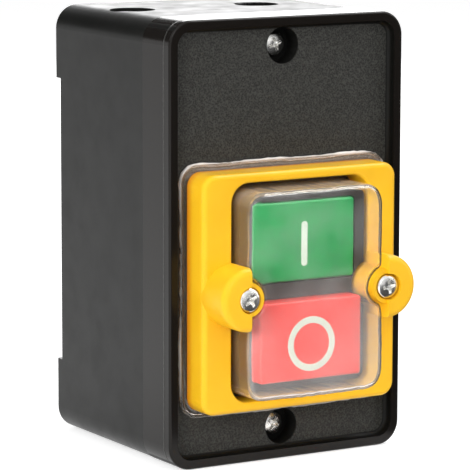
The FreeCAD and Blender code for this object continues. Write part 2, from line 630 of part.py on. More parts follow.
housing = new_body("switch_housing")
grow(housing, draw_rounded(panel_sketch(housing, "joint_y"), "housing_width",
                           "housing_tall", "housing_corner"), "housing_depth")
grow(housing, draw_rectangle(panel_sketch(housing, "plate_y + ear_thick"), "ear_width",
                             "ear_tall"), "ear_thick")
grow(housing, draw_rounded(panel_sketch(housing, "plate_y"), "tower_width", "tower_tall",
                           "tower_corner"), span("tower_y", "plate_y"))
for height in ("green_z", "red_z"):
    guide = draw_rounded(front_sketch(housing, "0", height, "tower_y - through"),
                         "button_width + 2 * slide_gap", "button_tall + 2 * slide_gap",
                         "button_corner + slide_gap")
    cut(housing, guide, span("tower_y", "deck_y") + " + through")
chamber = draw_rectangle(panel_sketch(housing, "joint_y"), "chamber_width", "chamber_tall")
cut(housing, chamber, span("deck_back_y", "joint_y"), forwards=True)
for height in ("green_z", "red_z"):
    passage = draw_rectangle(front_sketch(housing, "0", height, "deck_y - through"),
                             "stem_width + 2 * slide_gap", "stem_tall + 2 * slide_gap")
    cut(housing, passage, "deck_thick + 2 * through")
for side in ("-", ""):
    cheek = draw_rectangle(front_sketch(housing, side + "cheek_x", "panel_height", "cheek_y"),
                           "cheek_thick", "cheek_tall")
    grow(housing, cheek, span("deck_back_y", "cheek_y"))
pin_hole = draw_circle(side_sketch(housing, "pivot_y", "panel_height", "cheek_x + cheek_thick"),
                       "pin_radius")
cut(housing, pin_hole, "2 * (cheek_x + cheek_thick)")
for side in ("-", ""):
    relief = draw_circle(front_sketch(housing, side + "lug_x", "panel_height", "tower_y - through"),
                         "notch_radius + film + tower_clear")
    cut(housing, relief, span("tower_y", "floor_y") + " + through")
    bite = draw_circle(front_sketch(housing, side + "lug_x", "panel_height", "plate_y - through"),
                       "shank_radius")
    cut(housing, bite, "ear_thick + 2 * through")
    for end in ("-", "+"):
        height = "panel_height " + end + " body_screw_z"
        pilot = draw_circle(front_sketch(housing, side + "body_screw_x", height, "joint_y"),
                            "body_screw_radius")
        cut(housing, pilot, "body_screw_bite", forwards=True)

# Switch base: a tray behind the housing that carries the fixed contacts on its rear wall

base = new_body("switch_base")
grow(base, draw_rounded(panel_sketch(base, "base_back_y"), "housing_width",
                        "housing_tall", "housing_corner"), span("joint_y", "base_back_y"))
cut(base, draw_rectangle(panel_sketch(base, "joint_y"), "chamber_width", "chamber_tall"),
    span("joint_y", "base_y"))
spring_post = draw_circle(panel_sketch(base, "base_y"), "nib_radius")
grow(base, spring_post, "nib_reach")
POLES = ("-pole_span", "0", "pole_span")
for pole in POLES:
    for end in ("-", "+"):
        rivet_hole = draw_circle(front_sketch(base, pole, "green_z " + end + " contact_half_span",
                                              "base_y - through"), "rivet_radius")
        cut(base, rivet_hole, "base_wall + 2 * through")
        screw_hole = draw_circle(front_sketch(base, pole, "panel_height " + end + " terminal_z",
                                              "base_back_y"), "terminal_shank_radius")
        cut(base, screw_hole, "terminal_screw_length - clamp_thick - strip_thick", forwards=True)
for side in ("-", ""):
    for end in ("-", "+"):
        height = "panel_height " + end + " body_screw_z"
        hole = draw_circle(front_sketch(base, side + "body_screw_x", height, "joint_y - through"),
                           "body_screw_radius")
        cut(base, hole, span("joint_y", "base_back_y") + " + 2 * through")

# Buttons: a hollow cap with a slotted stem behind it


def make_button(label, height, face_y, slot_y, peg):
    button = new_body(label)
    rear = face_y + " + cap_length"
    grow(button, draw_rounded(front_sketch(button, "0", height, rear), "button_width", "button_tall",
                              "button_corner"), "cap_length")
    round_edges(button, lambda edge: in_plane(edge, "Y", number(face_y)), "button_round")
    cut(button, draw_rectangle(front_sketch(button, "0", height, rear), "button_width - 2 * cap_wall",
                               "button_tall - 2 * cap_wall"), "cap_length - cap_wall", forwards=True)
    end = slot_y + " + slot_length / 2 + stem_tail"
    stem = draw_rectangle(front_sketch(button, "0", height, end), "stem_width", "stem_tall")
    grow(button, stem, span(face_y + " + cap_wall / 2", end))
    slot = draw_rectangle(top_sketch(button, "0", slot_y, height + " + stem_tall / 2 + through"),
                          "rocker_width + 2 * rocker_side_gap", "slot_length")
    cut(button, slot, "stem_tall + 2 * through")
    if peg:
        grow(button, draw_circle(front_sketch(button, "0", height, "carrier_back_y"), "peg_radius"),
             "carrier_thick + through")
    return button


green = make_button("green_button", "green_z", "green_face_y", "green_slot_y", True)
red = make_button("red_button", "red_z", "red_face_y", "red_slot_y", False)

# Rocker: one lever between the two stems, so that one button comes out as the other goes in.
# It is drawn upright about its pin and then turned to the side of the latched green button.

rocker = new_body("rocker")
ROCKER_SIDE = "-rocker_width / 2"
grow(rocker, draw_circle(side_sketch(rocker, "0", "0", ROCKER_SIDE), "hub_radius"), "rocker_width")
arm = draw_rectangle(side_sketch(rocker, "0", "0", ROCKER_SIDE), "arm_thick", "button_span")
grow(rocker, arm, "rocker_width")
for end in ("-", ""):
    tip = draw_circle(side_sketch(rocker, "0", end + "button_span / 2", ROCKER_SIDE), "tip_radius")
    grow(rocker, tip, "rocker_width")
heel = draw_rectangle(front_sketch(rocker, "0", "0", "heel_reach"), "rocker_width", "heel_tall")
grow(rocker, heel, "heel_reach")
grow(rocker, draw_circle(front_sketch(rocker, "0", "0", "heel_reach + nib_reach"), "nib_radius"),
     "nib_reach + through / 2")
bore = draw_circle(side_sketch(rocker, "0", "0", "rocker_width / 2 + through"), "pin_radius + pin_gap")
cut(rocker, bore, "rocker_width + 2 * through")
TILT = "asin(button_travel / button_span)"
rocker.Placement = Placement(Vector(0, number("pivot_y"), number("panel_height")),
                             Rotation(Vector(-1, 0, 0), number(TILT)))
rocker.setExpression("Placement.Base.y", formula("pivot_y"))
rocker.setExpression("Placement.Base.z", formula("panel_height"))
rocker.setExpression("Placement.Rotation.Angle", formula(TILT))

pin = doc.addObject("Part::Cylinder", "rocker_pin")
pin.Label = "rocker_pin"
PIN_HALF = "cheek_x + cheek_thick / 2"
pin.Placement = Placement(Vector(0, 0, 0), Rotation(Vector(0, 1, 0), 90))
pin.setExpression("Radius", formula("pin_radius"))
pin.setExpression("Height", formula("2 * (" + PIN_HALF + ")"))
pin.setExpression("Placement.Base.x", formula("-(" + PIN_HALF + ")"))
pin.setExpression("Placement.Base.y", formula("pivot_y"))
pin.setExpression("Placement.Base.z", formula("panel_height"))

# Contact carrier on the green stem, with two lipped legs at each side of every bridge

carrier = new_body("contact_carrier")
grow(carrier, draw_rectangle(front_sketch(carrier, "0", "green_z", "carrier_back_y"), "carrier_width",
                             "carrier_tall"), "carrier_thick")
for pole in POLES:
    for side in ("-", "+"):
        leg = draw_rectangle(front_sketch(carrier, pole + " " + side + " leg_x", "green_z",
                                          "lip_y + lip_thick"), "leg_thick", "leg_tall")
        grow(carrier, leg, span("carrier_back_y - carrier_thick / 2", "lip_y + lip_thick"))
        lip_x = pole + " " + side + " (leg_x - lip_reach / 2)"
        lip = draw_rectangle(front_sketch(carrier, lip_x, "green_z", "lip_y + lip_thick"),
                             "leg_thick + lip_reach", "leg_tall")
        grow(carrier, lip, "lip_thick")
cut(carrier, draw_circle(front_sketch(carrier, "0", "green_z", "carrier_y - through"), "peg_radius"),
    "carrier_thick + 2 * through")

# Moving bridges, their springs, and the fixed contacts with their terminal strips

WIRE_SIDES = 6


def make_spring(label, x, z, start_y, length, coil_radius, wire_radius, turns):
    """A coil spring along Y, its wire just inside both ends of its length."""
    r, w, rise = number(coil_radius), number(wire_radius), number("(" + length + ") - 2 * " + wire_radius)
    steps = round(number(turns) * number("spring_steps"))
    sweep = 2 * math.pi * number(turns)
    slope = rise / sweep
    sections = []
    for step in range(steps + 1):
        turned = sweep * step / steps
        centre = Vector(r * math.cos(turned), w + slope * turned, r * math.sin(turned))
        outward = Vector(math.cos(turned), 0, math.sin(turned))
        along = Vector(-r * math.sin(turned), slope, r * math.cos(turned)).normalize()
        across = along.cross(outward)
        ring = []
        for side in range(WIRE_SIDES + 1):
            around = 2 * math.pi * side / WIRE_SIDES
            ring.append(centre + outward * (w * math.cos(around)) + across * (w * math.sin(around)))
        sections.append(Part.makePolygon(ring))
    spring = doc.addObject("Part::Feature", label)
    spring.Label = label
    spring.Shape = Part.makeLoft(sections, True, True)
    spring.Placement = Placement(Vector(number(x), number(start_y), number(z)), Rotation())
    return spring


STRIPS = (("line_contact_%d", "green_z + contact_half_span", "panel_height + terminal_z",
           "terminal_z - button_span / 2 - contact_half_span"),
          ("load_contact_%d", "green_z - contact_half_span", "panel_height - terminal_z",
           "terminal_z + button_span / 2 - contact_half_span"))

for index, pole in enumerate(POLES, start=1):
    bridge = new_body("contact_bridge_%d" % index)
    grow(bridge, draw_rectangle(front_sketch(bridge, pole, "green_z", "bridge_back_y"), "bridge_width",
                                "bridge_tall"), "bridge_thick")
    for end in ("-", "+"):
        tip = draw_circle(front_sketch(bridge, pole, "green_z " + end + " contact_half_span", "touch_y"),
                          "contact_radius")
        grow(bridge, tip, "contact_thick")
    make_spring("contact_spring_%d" % index, pole, "green_z", "carrier_back_y", "contact_spring_length",
                "contact_spring_radius", "contact_spring_wire", "contact_spring_turns")
    for label, rivet_z, screw_z, run in STRIPS:
        strip = new_body(label % index)
        middle = "((" + rivet_z + ") + (" + screw_z + ")) / 2"
        grow(strip, draw_rectangle(front_sketch(strip, pole, middle, "strip_back_y"), "strip_width",
                                   run + " + 2 * strip_past"), "strip_thick")
        grow(strip, draw_circle(front_sketch(strip, pole, rivet_z, "strip_back_y"), "rivet_radius"),
             span("base_y", "strip_back_y"))
        grow(strip, draw_circle(front_sketch(strip, pole, rivet_z, "base_y"), "contact_radius"),
             "contact_thick")
        cut(strip, draw_circle(front_sketch(strip, pole, screw_z, "base_back_y - through"),
                               "terminal_shank_radius"), "strip_thick + 2 * through")

toggle_reach = "heel_reach * cos(" + TILT + ")"
toggle_drop = "heel_reach * sin(" + TILT + ")"
TOGGLE_SPAN = "base_y - (pivot_y) - " + toggle_reach
toggle = make_spring("toggle_spring", "0", "0", "0", TOGGLE_SPAN, "toggle_radius", "toggle_wire",
                     "toggle_turns")
lean = math.degrees(math.atan2(number(toggle_drop), number(TOGGLE_SPAN)))
toggle_foot = Vector(0, number("pivot_y + " + toggle_reach), number("panel_height - " + toggle_drop))
toggle.Placement = Placement(toggle_foot, Rotation(Vector(1, 0, 0), lean))


# Screws: pan heads with a cross recess, or slotted heads at the terminals


def make_cross_screw(label, x, z, seat_y, length):
    screw = new_body(label)
    grow(screw, draw_circle(front_sketch(screw, x, z, seat_y), "head_radius"), "head_height")
    top_y = "(" + seat_y + ") - head_height"
    round_edges(screw, lambda edge: in_plane(edge, "Y", number(top_y)), "head_round")
    grow(screw, draw_circle(front_sketch(screw, x, z, seat_y), "shank_radius"), length, backwards=True)
    for wide, tall in (("cross_length", "cross_width"), ("cross_width", "cross_length")):
        cut(screw, draw_rectangle(front_sketch(screw, x, z, top_y), wide, tall), "cross_depth")
    return screw


make_cross_screw("cover_screw_top", "0", "cover_screw_high", "well_y", "cover_screw_length")
make_cross_screw("cover_screw_bottom", "0", "cover_screw_low", "well_y", "cover_screw_length")
make_cross_screw("bezel_screw_left", "-lug_x", "panel_height", "seat_y", "bezel_screw_length")
make_cross_screw("bezel_screw_right", "lug_x", "panel_height", "seat_y", "bezel_screw_length")
make_cross_screw("earth_screw", "earth_x", "earth_z", "earth_y - earth_plate_thick", "earth_screw_length")

earth_plate = new_body("earth_plate")
grow(earth_plate, draw_rectangle(front_sketch(earth_plate, "earth_x", "earth_z", "earth_y"),
                                 "earth_plate_side", "earth_plate_side"), "earth_plate_thick")
earth_plate_hole = draw_circle(front_sketch(earth_plate, "earth_x", "earth_z",
                                            "earth_y - earth_plate_thick - through"), "shank_radius")
cut(earth_plate, earth_plate_hole, "earth_plate_thick + 2 * through")


def make_disc(label, radius, height, x, y, z):
    """A cylinder along Y whose rear end is at the level y."""
    disc = doc.addObject("Part::Cylinder", label)
    disc.Placement = Placement(Vector(0, 0, 0), Rotation(Vector(1, 0, 0), 90))
    disc.setExpression("Radius", formula(radius))
    disc.setExpression("Height", formula(height))
    for axis, text in (("x", x), ("y", y), ("z", z)):
        disc.setExpression("Placement.Base." + axis, formula(text))
    return disc


def make_block(label, wide, deep, tall, x, y, z):
    """A block centred on x and z whose front face is at the level y."""
    block = doc.addObject("Part::Box", label)
    block.setExpression("Length", formula(wide))
    block.setExpression("Width", formula(deep))
    block.setExpression("Height", formula(tall))
    block.setExpression("Placement.Base.x", formula("(" + x + ") - (" + wide + ") / 2"))
    block.setExpression("Placement.Base.y", formula(y))
    block.setExpression("Placement.Base.z", formula("(" + z + ") - (" + tall + ") / 2"))
    return block


def make_slotted_screws(label, places, seat_y, head_radius, head_height, shank_radius, length):
    """Slotted screws driven from the back, all alike, their shanks pointing to the front."""
    screws = []
    top_y = "(" + seat_y + ") + " + head_height
    for x, z in places:
        head = make_disc(label + "_head", head_radius, head_height, x, top_y, z)
        shank = make_disc(label + "_shank", shank_radius, length, x, seat_y, z)
        slot = make_block(label + "_slot", "2 * " + head_radius + " + 2 * through",
                          "slot_depth + through", "slot_width", x, top_y + " - slot_depth", z)
        joined = doc.addObject("Part::Fuse", label + "_joined")
        joined.Base, joined.Tool = head, shank
        screw = doc.addObject("Part::Cut", label + "_one")
        screw.Base, screw.Tool = joined, slot
        screws.append(screw)
    group = doc.addObject("Part::Compound", label)
    group.Label = label
    group.Links = screws
    return group


TERMINALS = [(pole, "panel_height " + end + " terminal_z") for pole in POLES for end in ("-", "+")]
make_slotted_screws("terminal_screws", TERMINALS, "clamp_back_y", "terminal_head_radius",
                    "terminal_head_height", "terminal_shank_radius", "terminal_screw_length")
CORNERS = [(side + "body_screw_x", "panel_height " + end + " body_screw_z") for side in ("-", "")
           for end in ("-", "+")]
make_slotted_screws("body_screws", CORNERS, "base_back_y", "body_screw_head", "body_screw_head_height",
                    "body_screw_radius", span("joint_y", "base_back_y") + " + body_screw_bite")

clamps = []
for x, z in TERMINALS:
    plate = make_block("terminal_clamp_plate", "clamp_side", "clamp_thick", "clamp_side", x,
                       "strip_back_y", z)
    hole = make_disc("terminal_clamp_hole", "terminal_shank_radius", "clamp_thick + 2 * through", x,
                     "clamp_back_y + through", z)
    clamp = doc.addObject("Part::Cut", "terminal_clamp_one")
    clamp.Base, clamp.Tool = plate, hole
    clamps.append(clamp)
clamp_group = doc.addObject("Part::Compound", "terminal_clamps")
clamp_group.Label = "terminal_clamps"
clamp_group.Links = clamps

doc.recompute()

# Every sub-part, checked and then written to a file of its own name

NODES = [item for item in doc.Objects if item.TypeId in ("PartDesign::Body", "Part::Feature")]
NODES += [pin] + [doc.getObject(name) for name in ("terminal_screws", "body_screws", "terminal_clamps")]
failed = [item for item in doc.Objects if "Invalid" in item.State or "Error" in item.State]
problems = [item.Name + " " + str(item.State) for item in failed]
for node in NODES:
    if node.Shape.isNull() or not node.Shape.isValid():
        problems.append(node.Label + " has no valid shape")
    elif node.TypeId != "Part::Compound" and len(node.Shape.Solids) != 1:
        problems.append(node.Label + " has %d solids" % len(node.Shape.Solids))
if problems:
    raise RuntimeError("; ".join(problems))

os.makedirs("parts", exist_ok=True)
for node in NODES:
    node.Shape.exportStep("parts/" + node.Label + ".step")
whole = Part.makeCompound([node.Shape for node in NODES]).BoundBox
extent = [round(length, 2) for length in (whole.XLength, whole.YLength, whole.ZLength)]
print("sub-parts", len(NODES), "size", extent)
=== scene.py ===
import json
import math
import bmesh
import bpy
from mathutils import Matrix, Vector, noise


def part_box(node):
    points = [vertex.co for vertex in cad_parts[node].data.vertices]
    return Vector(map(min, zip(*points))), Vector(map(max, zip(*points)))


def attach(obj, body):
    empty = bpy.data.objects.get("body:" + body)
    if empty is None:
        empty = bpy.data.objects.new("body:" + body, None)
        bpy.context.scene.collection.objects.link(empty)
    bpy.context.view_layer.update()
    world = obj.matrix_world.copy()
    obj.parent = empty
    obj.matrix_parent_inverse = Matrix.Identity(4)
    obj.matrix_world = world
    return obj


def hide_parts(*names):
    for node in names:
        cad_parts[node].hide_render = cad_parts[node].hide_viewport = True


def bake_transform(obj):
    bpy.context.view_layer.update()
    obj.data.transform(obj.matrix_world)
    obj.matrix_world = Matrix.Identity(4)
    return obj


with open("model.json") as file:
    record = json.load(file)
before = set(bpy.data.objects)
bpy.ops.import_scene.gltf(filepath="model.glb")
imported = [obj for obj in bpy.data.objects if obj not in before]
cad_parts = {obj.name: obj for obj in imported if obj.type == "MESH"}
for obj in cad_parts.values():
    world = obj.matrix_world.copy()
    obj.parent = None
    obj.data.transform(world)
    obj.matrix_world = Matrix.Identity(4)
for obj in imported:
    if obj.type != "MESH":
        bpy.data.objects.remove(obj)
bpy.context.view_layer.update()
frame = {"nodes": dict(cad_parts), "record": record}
nodes = frame["nodes"]

# Enclosed two-button machine switch, in metres: X to the right, Y to the back, Z up.

MM = 0.001
WHITE = (1, 1, 1, 1)

# Levels and places, read from the solids

film_low, film_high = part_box("membrane")
bezel_low, bezel_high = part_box("bezel")
floor_y = film_high.y
flange_y = bezel_high.y
dome_y = film_low.y
panel_z = (bezel_low.z + bezel_high.z) / 2
cover_low, cover_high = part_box("front_cover")
cover_middle_z = (cover_low.z + cover_high.z) / 2
screw_low, screw_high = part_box("bezel_screw_right")
lug_x = (screw_low.x + screw_high.x) / 2
mounts = {mount["name"]: mount for mount in frame["record"]["mounts"]}

# Outer corners of the film's flange
FLANGE_CORNER = 5.4 * MM

# Shader helpers

def new_material(name):
    """A material with one Principled shader, its node tree and that shader."""
    made = bpy.data.materials.new(name)
    made.use_nodes = True
    tree = made.node_tree
    tree.nodes.clear()
    out = tree.nodes.new("ShaderNodeOutputMaterial")
    shader = tree.nodes.new("ShaderNodeBsdfPrincipled")
    tree.links.new(shader.outputs["BSDF"], out.inputs["Surface"])
    return made, tree, shader


def node_of(tree, kind):
    """The tree's first node of a kind."""
    return [item for item in tree.nodes if item.type == kind][0]


def calculate(tree, operation, *values):
    """Result of one sum on values that are each a socket or a number."""
    made = tree.nodes.new("ShaderNodeMath")
    made.operation = operation
    for socket, value in zip(made.inputs, values):
        if isinstance(value, (int, float)):
            socket.default_value = value
        else:
            tree.links.new(value, socket)
    return made.outputs[0]


def coords(tree, stretch=(1, 1, 1)):
    """The frame's own coordinates, in metres."""
    source = tree.nodes.new("ShaderNodeTexCoord")
    mapping = tree.nodes.new("ShaderNodeMapping")
    mapping.inputs["Scale"].default_value = stretch
    tree.links.new(source.outputs["Object"], mapping.inputs["Vector"])
    return mapping.outputs["Vector"]


def split(tree, vector):
    """The X, Y and Z of a vector."""
    made = tree.nodes.new("ShaderNodeSeparateXYZ")
    tree.links.new(vector, made.inputs["Vector"])
    return made.outputs


def noise_at(tree, vector, scale, detail=4.0, rough=0.55):
    """Noise whose patches are about one over scale metres across."""
    made = tree.nodes.new("ShaderNodeTexNoise")
    made.inputs["Scale"].default_value = scale
    made.inputs["Detail"].default_value = detail
    made.inputs["Roughness"].default_value = rough
    tree.links.new(vector, made.inputs["Vector"])
    return made.outputs["Fac"]


def remap(tree, value, taken, given):
    """The value carried from one range to another, and held at its ends."""
    made = tree.nodes.new("ShaderNodeMapRange")
    for name, level in zip(("From Min", "From Max", "To Min", "To Max"), (*taken, *given)):
        made.inputs[name].default_value = level
    tree.links.new(value, made.inputs["Value"])
    return made.outputs["Result"]


def step_near(tree, value, level, reach, given=(0, 1)):
    """A step from one result to the other near a level, its start and end in millimetres from there."""
    start, end = reach
    return remap(tree, value, (level + start * MM, level + end * MM), given)


def away_from(tree, value, middle):
    """How far a value is from a middle, either way."""
    return calculate(tree, "ABSOLUTE", calculate(tree, "SUBTRACT", value, middle))


def blend_colour(tree, factor, first, second):
    """A colour from the first to the second, each a socket or three numbers."""
    made = tree.nodes.new("ShaderNodeMix")
    made.data_type = "RGBA"
    for name, colour in (("A", first), ("B", second)):
        if isinstance(colour, tuple):
            made.inputs[name].default_value = (*colour, 1)
        else:
            tree.links.new(colour, made.inputs[name])
    tree.links.new(factor, made.inputs["Factor"])
    return made.outputs["Result"]


def bump(tree, shader, height, strength, distance, under=None):
    """A bump on the shader, laid over another one where that is given."""
    made = tree.nodes.new("ShaderNodeBump")
    made.inputs["Strength"].default_value = strength
    made.inputs["Distance"].default_value = distance
    tree.links.new(height, made.inputs["Height"])
    if under is not None:
        tree.links.new(under, made.inputs["Normal"])
    tree.links.new(made.outputs["Normal"], shader.inputs["Normal"])
    return made.outputs["Normal"]


# Materials

MIDDLE_OF_NOISE = (0.32, 0.68)
SKIN_DEPTH = 0.06 * MM
LIGHT_REACH, LIGHT_SCALE = (4 * MM, 2 * MM, 1 * MM), 0.4


def plastic(name, dark, light, rough, skin=0.12, skin_size=850, mottle=60, specular=0.5, glow=0.0):
    """Moulded plastic: a slow drift of colour, uneven gloss, a fine skin and a little light inside."""
    made, tree, shader = new_material(name)
    at = coords(tree)
    drift = remap(tree, noise_at(tree, at, mottle, 3.0), MIDDLE_OF_NOISE, (0, 1))
    tree.links.new(blend_colour(tree, drift, dark, light), shader.inputs["Base Color"])
    gloss = remap(tree, noise_at(tree, at, mottle * 5), MIDDLE_OF_NOISE, rough)
    tree.links.new(gloss, shader.inputs["Roughness"])
    bump(tree, shader, noise_at(tree, at, skin_size, 5.0, 0.6), skin, SKIN_DEPTH)
    shader.inputs["Specular IOR Level"].default_value = specular
    shader.inputs["Subsurface Weight"].default_value = glow
    shader.inputs["Subsurface Radius"].default_value = LIGHT_REACH
    shader.inputs["Subsurface Scale"].default_value = LIGHT_SCALE
    return made


# Bezel yellows, and an orange that is painted shade at the bezel's foot
YELLOW_DARK, YELLOW_LIGHT, FOOT_SHADE_ORANGE = (0.90, 0.485, 0.010), (0.97, 0.55, 0.018), (0.80, 0.27, 0.004)
FOOT_SHADE_REACH = (-3.0, -0.3)


def bezel_plastic():
    """Yellow plastic with painted shade: it deepens towards orange at its foot, by the flange."""
    made = plastic("bezel_yellow", YELLOW_DARK, YELLOW_LIGHT, (0.32, 0.42), mottle=45, specular=0.32,
                   glow=0.08)
    tree = made.node_tree
    colour = node_of(tree, "BSDF_PRINCIPLED").inputs["Base Color"]
    plain = colour.links[0].from_socket
    # Painted shade: the yellow turns orange within about 3 mm of the flange
    foot = step_near(tree, split(tree, coords(tree))["Y"], flange_y, FOOT_SHADE_REACH)
    tree.links.new(blend_colour(tree, foot, plain, FOOT_SHADE_ORANGE), colour)
    return made


# The cover's regions, in millimetres from its floor, its sides and its front, and their blacks; the darker
# black of the rim's inner walls is painted shade
PANEL_FRONT, PANEL_BACK = (-0.10, -0.02), (0.2, 0.6)
RIM_WALL, RIM_FRONT = (-1.8, -1.2), (0.1, 0.6)
PANEL_DARK, PANEL_LIGHT = (0.017, 0.017, 0.0155), (0.052, 0.052, 0.047)
RIM_BLACK, WALL_SHADE_BLACK = (0.0085, 0.0070, 0.0060), (0.0035, 0.0035, 0.0030)
COVER_ROUGH, COVER_SPECULAR = (0.20, 0.52), 0.21
CELL_SCALE, GRAIN_SCALE, DENT_SCALE = 2100, 1800, 420
CELL_SHARE, SPECK_RANGE = 0.6, (0.62, 1.0)
GRAIN_DEPTH, DENT_DEPTH = 0.16 * MM, 0.1 * MM


def grained_cover():
    """Black lid: a smooth glossy rim and sides, a leather-grained matt panel inside the rim, and matt inner
    walls painted darker as shade.
    """
    made, tree, shader = new_material("cover_black")
    at = coords(tree)
    place = split(tree, at)
    above_foot = step_near(tree, place["Y"], floor_y, PANEL_FRONT)
    above_back = step_near(tree, place["Y"], floor_y, PANEL_BACK, (1, 0))
    on_panel = calculate(tree, "MULTIPLY", above_foot, above_back)
    in_width = step_near(tree, calculate(tree, "ABSOLUTE", place["X"]), cover_high.x, RIM_WALL, (1, 0))
    in_height = step_near(tree, away_from(tree, place["Z"], cover_middle_z),
                          cover_high.z - cover_middle_z, RIM_WALL, (1, 0))
    below_rim = step_near(tree, place["Y"], cover_low.y, RIM_FRONT)
    inside = calculate(tree, "MULTIPLY", calculate(tree, "MULTIPLY", in_width, in_height), below_rim)
    cells = tree.nodes.new("ShaderNodeTexVoronoi")
    cells.inputs["Scale"].default_value = CELL_SCALE
    tree.links.new(at, cells.inputs["Vector"])
    grain = noise_at(tree, at, GRAIN_SCALE, 6.0, 0.75)
    relief = calculate(tree, "MULTIPLY_ADD", cells.outputs["Distance"], CELL_SHARE, grain)
    height = calculate(tree, "MULTIPLY", relief, on_panel)
    coarse = bump(tree, shader, height, 0.8, GRAIN_DEPTH)
    bump(tree, shader, noise_at(tree, at, DENT_SCALE, 3.0), 0.05, DENT_DEPTH, coarse)
    specks = remap(tree, relief, SPECK_RANGE, (0, 1))
    panel = blend_colour(tree, specks, PANEL_DARK, PANEL_LIGHT)
    # Painted shade: the rim's inner walls and the foot round the panel are darker than the rim
    smooth = blend_colour(tree, inside, RIM_BLACK, WALL_SHADE_BLACK)
    tree.links.new(blend_colour(tree, on_panel, smooth, panel), shader.inputs["Base Color"])
    matt = calculate(tree, "MAXIMUM", inside, on_panel)
    tree.links.new(remap(tree, matt, (0, 1), COVER_ROUGH), shader.inputs["Roughness"])
    shader.inputs["Specular IOR Level"].default_value = COVER_SPECULAR
    return made


# How close the metal's changes of tone and of gloss are
TONE_SCALE, GLOSS_SCALE = 700, 1400


def metal(name, dark, light, rough, scratch=0.15, streaks=2600):
    """Plated or stamped metal with fine scratches and a change of tone."""
    made, tree, shader = new_material(name)
    at = coords(tree)
    tone = remap(tree, noise_at(tree, at, TONE_SCALE, 4.0), MIDDLE_OF_NOISE, (0, 1))
    tree.links.new(blend_colour(tree, tone, dark, light), shader.inputs["Base Color"])
    shader.inputs["Metallic"].default_value = 1.0
    gloss = remap(tree, noise_at(tree, at, GLOSS_SCALE), MIDDLE_OF_NOISE, rough)
    tree.links.new(gloss, shader.inputs["Roughness"])
    bump(tree, shader, noise_at(tree, coords(tree, (1, 1, 5)), streaks), scratch, SKIN_DEPTH)
    return made


# How much of the light each surface of the film scatters, and in which tint: a milky haze, with painted
# reflections and painted light worked into it
CLOUD_HAZE, LOW_PAINTED_REFLECTION, SIDE_HAZE_AND_PAINTED_LIGHT = (0.0, 0.055), (0, 0.075), (0.030, 0.050)
TOP_PAINTED_LIGHT, END_PAINTED_LIGHT, EDGE_HIGHLIGHT = (-0.02, 0.09), 0.10, 0.45
LEFT_REFLECTED_ORANGE, RIGHT_PAINTED_TINT, END_PAINTED_TINT = (0.62, 0.33, 0.14), (0.95, 0.84, 0.70), (0.90, 0.74, 0.56)
FRONT_TINT, FLANGE_REFLECTED_TINT, EDGE_HIGHLIGHT_TINT = (0.96, 0.95, 0.93), (0.60, 0.48, 0.38), (0.97, 0.94, 0.92)

# Where the film's regions begin and end, in millimetres from the level that each is measured from
WALL_REACH, FLANGE_REACH, EDGE_REACH = (1.2, 3.0), (-1.5, 0), (-0.60, -0.25)
LOW_REACH, TOP_REACH, END_REACH, SIDE_REACH = (8, -10), (30, 34), (24, 28), (-18, 18)

FILM_COLOUR, FILM_SHADOW = (0.985, 0.975, 0.965, 1), (0.97, 0.96, 0.95, 1)
FILM_IOR, FILM_ROUGH = 1.42, (0.05, 0.13)
CLOUD_SCALE, CLOUD_RANGE = 60, (0.36, 0.66)
UNEVEN_SCALE, RIPPLE_SCALE, DIMPLE_SCALE = 160, 75, 700
RIPPLE_DEPTH, DIMPLE_DEPTH = 0.6 * MM, 0.1 * MM


def edge_line(tree, place):
    """One along the film's outer edge, a rounded rectangle, and nothing inside it."""
    half_x, half_z = film_high.x, (film_high.z - film_low.z) / 2
    far_x = calculate(tree, "ABSOLUTE", place["X"])
    far_z = away_from(tree, place["Z"], panel_z)
    out_x = calculate(tree, "MAXIMUM", calculate(tree, "SUBTRACT", far_x, half_x - FLANGE_CORNER), 0.0)
    out_z = calculate(tree, "MAXIMUM", calculate(tree, "SUBTRACT", far_z, half_z - FLANGE_CORNER), 0.0)
    squares = calculate(tree, "MULTIPLY_ADD", out_x, out_x, calculate(tree, "MULTIPLY", out_z, out_z))
    return step_near(tree, calculate(tree, "SQRT", squares), FLANGE_CORNER, EDGE_REACH)


